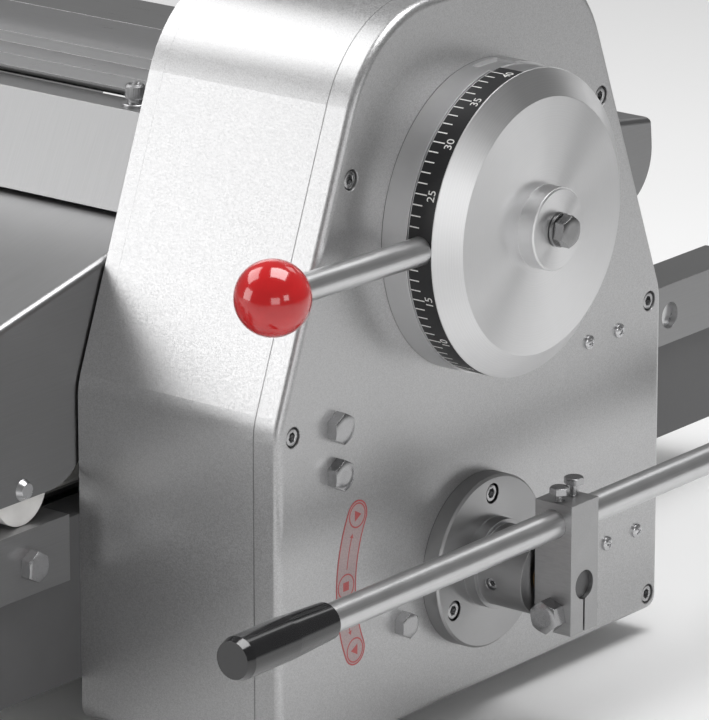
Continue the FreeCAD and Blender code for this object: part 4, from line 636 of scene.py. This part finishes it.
def hexagon_head(centre, axis, zero, flats, height):
    """Hexagon cut by a 30 degree cone at the top, with a slight dish in the middle."""
    angles = full_turn(72)
    side = hexagon(angles, flats)
    cone = flats * 0.47
    dish = flats * 0.006
    shoulder = height - (side - cone) * math.tan(math.radians(30))
    rows = [(0, 0), (side, 0), (side, shoulder), (cone, height), (cone * 0.55, height - dish),
            (0, height - dish)]
    return lathe(rows, angles, centre, axis, zero)


def socket_screw(centre, axis, zero, radius, height, flats, depth, stud, length):
    """Screw turned about its axis, less a hexagon socket with a lip and a conical floor."""
    angles = full_turn(72)
    socket = hexagon(angles, flats)
    soft = radius * 0.14
    lip = flats * 0.06
    rows = [(0, -length), (stud, -length), (stud, 0), (radius, 0), (radius, height - soft),
            (radius - soft * 0.3, height - soft * 0.3), (radius - soft, height),
            (socket + lip, height), (socket, height - lip), (socket, height - depth),
            (0, height - depth - flats * 0.15)]
    return lathe(rows, angles, centre, axis, zero)


def turned_piece(profile, centre, axis, zero):
    """A profile of (radius, height) pairs carried once round the axis."""
    return lathe(profile, full_turn(64), centre, axis, zero)


def split_washer(centre, axis, zero, inner, outer, thick, gap=0.16, steps=60):
    """A square wire carried round the axis from gap to 2 pi - gap, rising by half its thickness."""
    angles = np.linspace(gap, 2 * math.pi - gap, steps)
    lift = (angles - math.pi) / (2 * math.pi) * thick * 0.5
    section = np.array([(inner, 0), (outer, 0), (outer, thick), (inner, thick)])
    radius = np.broadcast_to(section[:, :1], (4, steps))
    rise = section[:, 1:] + lift[None, :] + thick * 0.25
    points, _ = around(radius, rise, angles[None, :], centre, axis, zero)
    faces = grid_faces(4, steps, close_rows=True, close_columns=False).tolist()
    ends = [[row * steps for row in range(4)], [row * steps + steps - 1 for row in range(4)]]
    return points, faces + ends


def cross_head(centre, axis, zero, radius, height):
    """Dome h(r) = height * sqrt(1 - 0.8 (r / radius)^2), less a cross-shaped recess in the middle."""
    angles = full_turn(80)
    share = np.concatenate([[0.0], np.linspace(0.04, 1.0, 30)])[:, None]
    reach = share * radius
    x = np.abs(reach * np.cos(angles))
    y = np.abs(reach * np.sin(angles))
    half, arm = radius * 0.14, radius * 0.56
    slot = np.maximum((y < half) * (x < arm), (x < half) * (y < arm))
    dome = height * np.sqrt(1 - 0.8 * share ** 2)
    rise = dome - slot * height * 0.5 * (1.1 - share / 0.6)
    top = np.broadcast_to(reach, rise.shape)
    rim = np.full((1, angles.size), radius)
    radius_rows = np.concatenate([top, rim, 0 * rim])
    rise_rows = np.concatenate([rise, 0 * rim, 0 * rim])
    return around(radius_rows, rise_rows, angles[None, :], centre, axis, zero)


def knurled_knob(centre, axis, zero, radius, length, washer_radius, washer_thick):
    """Washer and knob; the knob's radius is radius - 0.25 mm * |sin(18 a)| between two chamfers."""
    angles = full_turn(264)
    ridged = radius - 0.00025 * np.abs(np.sin(18 * angles))
    neck, foot, top = radius * 0.8, washer_thick, washer_thick + length
    rows = [(0, 0), (washer_radius, 0), (washer_radius, foot * 0.7), (washer_radius - 0.0006, foot),
            (neck, foot), (neck, foot + 0.0025), (radius - 0.0006, foot + 0.003),
            (ridged, foot + 0.004), (ridged, top - 0.0016), (radius - 0.0014, top),
            (radius * 0.58, top), (radius * 0.52, top - 0.0012), (0, top - 0.0012)]
    return lathe(rows, angles, centre, axis, zero)


def slab(loop, thick, to_space):
    """A flat closed loop given a thickness: loop points at heights 0 and thick, with end faces."""
    loop = np.asarray(loop, float)
    count = len(loop)
    flat = np.concatenate([np.c_[loop, np.zeros(count)], np.c_[loop, np.full(count, thick)]])
    faces = grid_faces(2, count).tolist()
    ends = [list(range(count)), list(range(count, 2 * count))]
    return to_space(flat), faces + ends


def outline(loop, width, thick, to_space):
    """A band of the given width along a closed loop: each point is moved along the loop's normal."""
    loop = np.asarray(loop, float)
    run = np.roll(loop, -1, axis=0) - np.roll(loop, 1, axis=0)
    normal = np.c_[run[:, 1], -run[:, 0]] / np.linalg.norm(run, axis=1)[:, None]
    outer, inner = loop + normal * width / 2, loop - normal * width / 2
    count = len(loop)
    rows = [np.c_[outer, np.zeros(count)], np.c_[outer, np.full(count, thick)],
            np.c_[inner, np.full(count, thick)], np.c_[inner, np.zeros(count)]]
    return to_space(np.concatenate(rows)), grid_faces(4, count, close_rows=True)


# Placing finishes on the solids


def dress(slot, material, nodes=None):
    """Gives the material to the solids of one slot, or to the named ones among them."""
    for node, name in SLOT_OF.items():
        if name == slot and (nodes is None or node in nodes):
            mesh = NODES[node].data
            mesh.materials.clear()
            mesh.materials.append(material)


class SHEETER_OT_painted_housings(bpy.types.Operator):
    """Silver speckled paint on the housings, dark grey painted shade on the silver-painted base beams,
    shop paint inside them
    """

    bl_idname = "sheeter.painted_housings"
    bl_label = "Painted housings"

    def execute(self, context):
        look = context.scene.sheeter_finishes
        colour, gloss = tuple(look.paint), look.paint_gloss
        dress("silver_paint", speckled_paint("silver_paint", colour, gloss, look.paint_edge))
        dress("silver_paint", speckled_paint("cover_paint", colour, gloss, 0.0002),
              ("cover_shells", "frame_plates"))
        # Painted shade: the silver-painted base beams get a dark grey plain paint
        dress("silver_paint", plain_paint("beam_paint", SHADED_BEAM_GREY), ("base_beams",))
        dress("plain_paint", plain_paint("shop_paint", SHOP_GREY))
        return {"FINISHED"}


class SHEETER_OT_sheet_pieces(bpy.types.Operator):
    """Brushed sheet on the guards, covers, bridge, rails, beds and scraper aprons"""

    bl_idname = "sheeter.sheet_pieces"
    bl_label = "Sheet pieces"

    def execute(self, context):
        colour = tuple(context.scene.sheeter_finishes.sheet)
        # Painted shade darkens the front and rear faces of the guards and covers by 0.45
        dress("stainless", brushed_sheet("brushed_across", colour, 0.38, "X", "Y", 0.45))
        # The bridge: a lighter grey as painted light on its flats, and painted shade darkening its
        # risers (faces along X) by 0.85
        dress("stainless", brushed_sheet("brushed_along", LIT_BRIDGE_GREY, 0.30, "Y", "X", 0.85),
              ("top_bridge",))
        return {"FINISHED"}


class SHEETER_OT_steel_pieces(bpy.types.Operator):
    """Machined, drawn and plated steel, bearings and chains"""

    bl_idname = "sheeter.steel_pieces"
    bl_label = "Steel pieces"

    def execute(self, context):
        colour = tuple(context.scene.sheeter_finishes.steel)
        dress("machined_steel", machined_steel("machined_steel", colour, 0.42))
        dress("machined_steel", machined_steel("shaft_steel", SHAFT_GREY, 0.42), ("lever_shaft",))
        dress("machined_steel", turned_face("turned_steel", colour, 0.32, LEVER_AXIS, PLATE_FACE),
              ("lever_flange",))
        dress("bright_steel", drawn_rod("bright_rod", ROD_GREY, 0.33))
        dress("zinc", plated_steel("zinc_plate", ZINC_GREY, 0.30))
        dress("chain_steel", plated_steel("chain_steel", CHAIN_GREY, 0.38))
        dress("bronze", machined_steel("bronze", BRONZE, 0.34))
        return {"FINISHED"}


class SHEETER_OT_dial(bpy.types.Operator):
    """Turned aluminium on the dial and its ring"""

    bl_idname = "sheeter.dial"
    bl_label = "Dial"

    def execute(self, context):
        colour = tuple(context.scene.sheeter_finishes.dial)
        dress("turned_aluminium",
              turned_face("turned_aluminium", colour, 0.36, DIAL_AXIS, PLATE_FACE))
        dress("black_print", printed("band_ink", BAND_BLACK, 0.42))
        return {"FINISHED"}


class SHEETER_OT_moulded_pieces(bpy.types.Operator):
    """Red ball, black grips, wheels, feet, switches and belts"""

    bl_idname = "sheeter.moulded_pieces"
    bl_label = "Moulded pieces"

    def execute(self, context):
        look = context.scene.sheeter_finishes
        dress("red_knob", moulded("red_ball", tuple(look.knob), 0.16, 0.8))
        dress("black_grip", moulded("black_grip", tuple(look.grip), 0.16, 0.5))
        dress("nylon", moulded("nylon", NYLON_WHITE, 0.42, 0.0))
        dress("foot_rubber", moulded("foot_rubber", RUBBER_BLACK, 0.70, 0.0))
        dress("switch_plastic", moulded("switch_case", CASE_BLACK, 0.48, 0.0))
        dress("belt_cloth", woven_belt("belt_cloth", CLOTH_WHITE))
        return {"FINISHED"}


# Printed marks


def text_shape(text, height, thick):
    """Points and faces of a number in the built-in letters, centred, with the given height."""
    curve = bpy.data.curves.new("number", "FONT")
    curve.body = text
    curve.align_x = "CENTER"
    curve.align_y = "CENTER"
    curve.size = height / LETTER_SHARE
    curve.extrude = thick / 2
    curve.resolution_u = 4
    thing = bpy.data.objects.new("number", curve)
    bpy.context.scene.collection.objects.link(thing)
    bpy.context.view_layer.update()
    graph = bpy.context.evaluated_depsgraph_get()
    mesh = bpy.data.meshes.new_from_object(thing.evaluated_get(graph))
    points = np.empty(len(mesh.vertices) * 3)
    mesh.vertices.foreach_get("co", points)
    faces = [list(face.vertices) for face in mesh.polygons]
    bpy.data.objects.remove(thing)
    bpy.data.curves.remove(curve)
    bpy.data.meshes.remove(mesh)
    return points.reshape(-1, 3), faces


class SHEETER_OT_scale_marks(bpy.types.Operator):
    """White ticks and numbers on the dial's black band"""

    bl_idname = "sheeter.scale_marks"
    bl_label = "Scale marks"

    def execute(self, context):
        marks = context.scene.sheeter_marks
        x, z = DIAL_AXIS

        def wrap(flat, angle):
            """Flat (run, rise, height) on the band: run turns clockwise, rise goes to the rear."""
            turn = angle - flat[:, 0] / BAND_RADIUS
            reach = BAND_RADIUS + flat[:, 2]
            return np.c_[x + reach * np.cos(turn), flat[:, 1], z + reach * np.sin(turn)]

        parts = []
        half = marks.tick_width / 2
        for value in range(FULL_SCALE + 1):
            angle = marks.first_angle + marks.tick_angle * (FULL_SCALE - value)
            if abs(angle - HANDLE_ANGLE) < HANDLE_CLEAR:
                continue
            numbered = value % NUMBER_STEP == 0
            near = BAND_BACK - TICK_INSET
            far = BAND_BACK - (marks.long_tick if numbered else marks.short_tick)
            loop = [(-half, near), (half, near), (half, far), (-half, far)]
            parts.append(slab(loop, marks.print_depth, lambda flat, a=angle: wrap(flat, a)))
            if numbered:
                points, faces = text_shape(str(value), marks.numeral, marks.print_depth)
                points[:, 1] += BAND_BACK - marks.numeral_place
                points[:, 2] += marks.print_depth
                parts.append((wrap(points, angle), faces))
        thing = shell("scale_marks", parts, printed("white_ink", INK_WHITE))
        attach(thing, "dial")
        return {"FINISHED"}


class SHEETER_OT_direction_marking(bpy.types.Operator):
    """Curved red marking for the lever: an outline, three circles and arrows, without words"""

    bl_idname = "sheeter.direction_marking"
    bl_label = "Direction marking"

    def execute(self, context):
        marks = context.scene.sheeter_marks
        look = context.scene.sheeter_finishes
        x, z = marks.arc_centre
        radius, half = marks.arc_radius, marks.arc_width / 2
        end = half / radius
        low, high = marks.arc_low + end, marks.arc_high - end
        middle = (low + high) / 2

        thick = marks.print_depth

        def on_plate(flat):
            """Flat (left, up, height) on the face of the plate."""
            return np.c_[x - flat[:, 0], PLATE_FACE - flat[:, 2], z + flat[:, 1]]

        def raised(flat):
            """The same, half a layer higher."""
            return on_plate(flat) - np.array((0.0, thick * 0.5, 0.0))

        def at(reach, angle):
            """Points at a reach and an angle from the curve's centre."""
            return np.stack([reach * np.cos(angle), reach * np.sin(angle)], axis=-1)

        def cap(angle, first):
            """Half circle round the end of the marking, without its two ends."""
            return at(radius, angle) + at(half, first + np.linspace(0, math.pi, 16)[1:-1])

        run = np.linspace(low, high, 40)
        loop = np.concatenate([at(radius + half, run), cap(high, high),
                               at(radius - half, run[::-1]), cap(low, low - math.pi)])
        wash = [slab(loop, thick, on_plate)]
        line_width, ring_width, ring_share = 0.0011, 0.0010, 0.82
        lines = [outline(loop, line_width, thick, raised)]
        for angle in (low, middle, high):
            ring = at(radius, angle) + at(half * ring_share, full_turn(48))
            lines.append(outline(ring, ring_width, thick, raised))
        tip, tail, wing = 0.0042, 0.0026, 0.0038
        for angle, hand in ((low, 1), (high, -1)):
            arrow = np.array([(hand * tip, 0), (-hand * tail, wing), (-hand * tail, -wing)])
            lines.append(slab(at(radius, angle) + arrow, thick, raised))
        square = 0.0030 * np.array([(1, 1), (-1, 1), (-1, -1), (1, -1)])
        lines.append(slab(at(radius, middle) + square, thick, raised))
        shaft_half, head_half, head_turn = 0.0004, 0.0018, 0.028
        for goal in (low, high):
            way = 1 if goal > middle else -1
            start = middle + way * 1.15 * end
            finish = goal - way * 1.25 * end
            head = finish - way * head_turn
            shaft = np.linspace(start, head, 8)
            sides = [at(radius + shaft_half, shaft), at(radius - shaft_half, shaft[::-1])]
            lines.append(slab(np.concatenate(sides), thick, raised))
            point = [at(radius, finish), at(radius + head_half, head), at(radius - head_half, head)]
            lines.append(slab(point, thick, raised))
        pale = shell("direction_wash", wash, printed("pale_red_ink", INK_WASH, 0.45))
        red = shell("direction_lines", lines, printed("red_ink", tuple(look.marking), 0.45))
        for thing in (pale, red):
            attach(thing, "frame")
        return {"FINISHED"}


# Screw heads


class SHEETER_OT_bolt_heads(bpy.types.Operator):
    """Chamfered hexagon heads on the plate and rails, and the dial's bolt with its split washer"""

    bl_idname = "sheeter.bolt_heads"
    bl_label = "Bolt heads"

    def execute(self, context):
        zinc = plated_steel("bolt_zinc", BOLT_GREY, 0.22)
        parts = [hexagon_head((px, PLATE_FACE, pz), TO_FRONT, UPWARD, BOLT_FLATS, BOLT_HEIGHT)
                 for px, pz in PLATE_BOLTS]
        px, pz = LOWER_BOLT
        parts.append(hexagon_head((px, PLATE_FACE, pz), TO_FRONT, UPWARD, LOWER_BOLT_FLATS,
                                  BOLT_HEIGHT))
        low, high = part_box("table_rails")
        for px in RAIL_BOLTS:
            for py, axis in ((low.y, TO_FRONT), (high.y, TO_REAR)):
                parts.append(hexagon_head((px, py, RAIL_BOLT_HEIGHT), axis, UPWARD, BOLT_FLATS,
                                          BOLT_HEIGHT))
        thing = shell("bolt_heads", parts, zinc)
        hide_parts("hex_bolts")
        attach(thing, "frame")

        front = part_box("dial_bolt")[0].y
        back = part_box("dial_wheel")[0].y
        zero = (math.cos(DIAL_BOLT_TURN), 0, math.sin(DIAL_BOLT_TURN))
        x, z = DIAL_AXIS
        thick = DIAL_WASHER_THICK
        stud = DIAL_STUD_RADIUS
        parts = [hexagon_head((x, back - thick, z), TO_FRONT, zero, BOLT_FLATS, back - front - thick),
                 split_washer((x, back, z), TO_FRONT, zero, 0.0065, 0.0115, 0.0022),
                 turned_piece([(0, 0), (stud, 0), (stud, thick), (0, thick)], (x, back, z), TO_FRONT,
                              zero)]
        dark = plated_steel("dial_bolt_steel", DIAL_BOLT_GREY, 0.22)
        thing = shell("dial_bolt_head", parts, dark)
        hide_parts("dial_bolt")
        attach(thing, "dial")

        y, z = CLAMP_BOLT_Y, LEVER_AXIS[1] - CLAMP_BOLT_DROP
        tilt = (0, math.sin(CLAMP_BOLT_TILT), math.cos(CLAMP_BOLT_TILT))
        parts = [hexagon_head((-CLAMP_HALF_WIDTH, y, z), TO_LEFT, tilt, CLAMP_HEAD_FLATS,
                              CLAMP_HEAD_HEIGHT),
                 hexagon_head((CLAMP_HALF_WIDTH, y, z), TO_RIGHT, tilt, BOLT_FLATS, BOLT_HEIGHT),
                 turned_piece(CLAMP_STUD, (CLAMP_HALF_WIDTH, y, z), TO_RIGHT, UPWARD)]
        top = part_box("clamp_block")[1].z
        groove = THREAD_DEPTH * (np.arange(THREAD_ROWS) % 2)[:, None]
        for px, turn, stand in SET_SCREWS:
            zero = (math.cos(turn), math.sin(turn), 0)
            parts.append(hexagon_head((px, y, top + stand), UPWARD, zero, SET_SCREW_FLATS,
                                      SET_SCREW_HEIGHT))
            rise = np.linspace(0, stand + 0.0005, THREAD_ROWS)[:, None]
            parts.append(around(SET_SCREW_RADIUS - groove, rise, full_turn(24)[None, :],
                                (px, y, top), UPWARD, zero))
        thing = shell("clamp_bolt_heads", parts, zinc)
        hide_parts("clamp_bolts")
        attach(thing, "lever")
        return {"FINISHED"}


class SHEETER_OT_socket_screws(bpy.types.Operator):
    """Socket screws sunk in both side plates and in the lever's flange and hub"""

    bl_idname = "sheeter.socket_screws"
    bl_label = "Socket screws"

    def execute(self, context):
        sunk, head, stud, length = 0.008, 0.0072, 0.004, 0.012
        reach, flats, depth = 0.0060, 0.0060, 0.0045
        parts = []
        for place, (px, pz) in enumerate(PLATE_SCREWS):
            for side in (-1, 1):
                turn = 0.5 * place + 0.35 * side
                zero = (math.cos(turn), 0, math.sin(turn))
                for face, axis in ((PLATE_FACE + sunk, TO_FRONT), (REAR_FACE - sunk, TO_REAR)):
                    parts.append(socket_screw((side * px, face, pz), axis, zero, reach, head,
                                              flats, depth, stud, length))
        x, z = LEVER_AXIS
        for turn in np.radians((90, 210, 330)):
            centre = (x + FLANGE_RING * math.cos(turn), FLANGE_FACE + sunk,
                      z + FLANGE_RING * math.sin(turn))
            parts.append(socket_screw(centre, TO_FRONT, TO_RIGHT, reach, head, flats, depth, stud,
                                      FLANGE_SCREW_LENGTH))
        outward = (-math.cos(HUB_SCREW_SLOPE), 0, -math.sin(HUB_SCREW_SLOPE))
        start = HUB_RADIUS - HUB_SCREW_HEAD
        centre = (x + start * outward[0], HUB_SCREW_Y, z + start * outward[2])
        parts.append(socket_screw(centre, outward, TO_REAR, 0.0044, HUB_SCREW_HEAD, 0.004, 0.004,
                                  0.003, 0.001))
        thing = shell("socket_screws", parts, plated_steel("screw_steel", SCREW_GREY, 0.24))
        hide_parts("cap_screws")
        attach(thing, "frame")
        return {"FINISHED"}


class SHEETER_OT_pan_heads(bpy.types.Operator):
    """Domed screw heads with cross recesses"""

    bl_idname = "sheeter.pan_heads"
    bl_label = "Pan heads"

    def execute(self, context):
        parts = []
        for px, pz, turn in PAN_SCREWS:
            zero = (math.cos(turn), 0, math.sin(turn))
            parts.append(cross_head((px, PLATE_FACE, pz), TO_FRONT, zero, PAN_RADIUS, PAN_HEIGHT))
        thing = shell("pan_heads", parts, plated_steel("pan_zinc", PAN_GREY, 0.24))
        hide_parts("pan_screws")
        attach(thing, "frame")
        return {"FINISHED"}


class SHEETER_OT_thumb_knobs(bpy.types.Operator):
    """Knurled thumb screws that hold the roller covers"""

    bl_idname = "sheeter.thumb_knobs"
    bl_label = "Thumb knobs"

    def execute(self, context):
        low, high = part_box("thumb_screws")
        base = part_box("roller_covers")[1].z
        parts = [knurled_knob((px, py, base), UPWARD, TO_RIGHT, 0.0068, 0.0130, 0.009, 0.002)
                 for px in THUMB_PLACES for py in (low.y + THUMB_INSET, high.y - THUMB_INSET)]
        thing = shell("thumb_knobs", parts, plated_steel("knob_steel", BOLT_GREY, 0.34))
        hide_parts("thumb_screws")
        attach(thing, "frame")
        return {"FINISHED"}


# Studio


def lamp(name, power, size, place, aim):
    """Square-cornered area lamp at place that looks at aim."""
    data = bpy.data.lights.new(name, "AREA")
    data.shape = "RECTANGLE"
    data.size, data.size_y = size
    data.energy = power
    thing = bpy.data.objects.new(name, data)
    thing.location = place
    thing.rotation_euler = (Vector(aim) - Vector(place)).to_track_quat("-Z", "Y").to_euler()
    thing.visible_camera = False
    bpy.context.scene.collection.objects.link(thing)


class SHEETER_OT_studio(bpy.types.Operator):
    """Pale floor, soft lamps and the camera"""

    bl_idname = "sheeter.studio"
    bl_label = "Studio"

    def execute(self, context):
        scene = context.scene
        studio = scene.sheeter_studio
        scene.view_settings.view_transform = "Standard"

        side = np.linspace(-FLOOR_REACH, FLOOR_REACH, FLOOR_POINTS)
        gx, gy = np.meshgrid(side, side)
        points = np.c_[gx.ravel(), gy.ravel(), np.zeros(gx.size)]
        faces = grid_faces(FLOOR_POINTS, FLOOR_POINTS, close_columns=False)
        pale = Finish("pale_floor", tuple(studio.floor), 0.9)
        pale.tint(pale.noise(2.0), 0.01)
        ground = shell("floor", [(points, faces)], pale.material)

        world = bpy.data.worlds.new("soft_room")
        world.use_nodes = True
        background = world.node_tree.nodes["Background"]
        fill(background, Color=(1, 1, 1, 1), Strength=studio.surround)
        scene.world = world

        for word, size, place in LAMPS:
            lamp(word + "_lamp", getattr(studio, word + "_power"), size, place, LAMP_AIM)

        azimuth, elevation = studio.azimuth, studio.elevation
        back = Vector((math.sin(azimuth) * math.cos(elevation),
                       -math.cos(azimuth) * math.cos(elevation), math.sin(elevation)))
        right = Vector((math.cos(azimuth), math.sin(azimuth), 0))
        up = back.cross(right)
        data = bpy.data.cameras.new("camera")
        data.sensor_width = 36
        data.lens = studio.lens
        data.clip_end = 100
        camera = bpy.data.objects.new("camera", data)
        camera.matrix_world = Matrix.Translation(Vector(studio.eye)) @ Matrix(
            (right, up, back)).transposed().to_4x4()
        scene.collection.objects.link(camera)
        scene.camera = camera
        return {"FINISHED"}


PIECES = (
    SHEETER_OT_painted_housings,
    SHEETER_OT_sheet_pieces,
    SHEETER_OT_steel_pieces,
    SHEETER_OT_dial,
    SHEETER_OT_moulded_pieces,
    SHEETER_OT_scale_marks,
    SHEETER_OT_direction_marking,
    SHEETER_OT_bolt_heads,
    SHEETER_OT_socket_screws,
    SHEETER_OT_pan_heads,
    SHEETER_OT_thumb_knobs,
    SHEETER_OT_studio,
)


class SHEETER_PT_panel(bpy.types.Panel):
    """Lists the pieces and their settings"""

    bl_idname = "SHEETER_PT_panel"
    bl_label = "Dough sheeter"
    bl_space_type = "VIEW_3D"
    bl_region_type = "UI"
    bl_category = "Sheeter"

    def draw(self, context):
        for operator in PIECES:
            self.layout.operator(operator.bl_idname)
        for group in (context.scene.sheeter_finishes, context.scene.sheeter_marks,
                      context.scene.sheeter_studio):
            box = self.layout.box()
            for name in type(group).__annotations__:
                box.prop(group, name)


GROUPS = (
    ("sheeter_finishes", SheeterFinishes),
    ("sheeter_marks", SheeterMarks),
    ("sheeter_studio", SheeterStudio),
)


def register():
    for name, group in GROUPS:
        bpy.utils.register_class(group)
        setattr(bpy.types.Scene, name, PointerProperty(type=group))
    for operator in PIECES:
        bpy.utils.register_class(operator)
    bpy.utils.register_class(SHEETER_PT_panel)


def unregister():
    bpy.utils.unregister_class(SHEETER_PT_panel)
    for operator in reversed(PIECES):
        bpy.utils.unregister_class(operator)
    for name, group in reversed(GROUPS):
        delattr(bpy.types.Scene, name)
        bpy.utils.unregister_class(group)


def main():
    register()
    bpy.ops.sheeter.painted_housings()
    bpy.ops.sheeter.sheet_pieces()
    bpy.ops.sheeter.steel_pieces()
    bpy.ops.sheeter.dial()
    bpy.ops.sheeter.moulded_pieces()
    bpy.ops.sheeter.scale_marks()
    bpy.ops.sheeter.direction_marking()
    bpy.ops.sheeter.bolt_heads()
    bpy.ops.sheeter.socket_screws()
    bpy.ops.sheeter.pan_heads()
    bpy.ops.sheeter.thumb_knobs()
    bpy.ops.sheeter.studio()


if __name__ == "__main__":
    main()
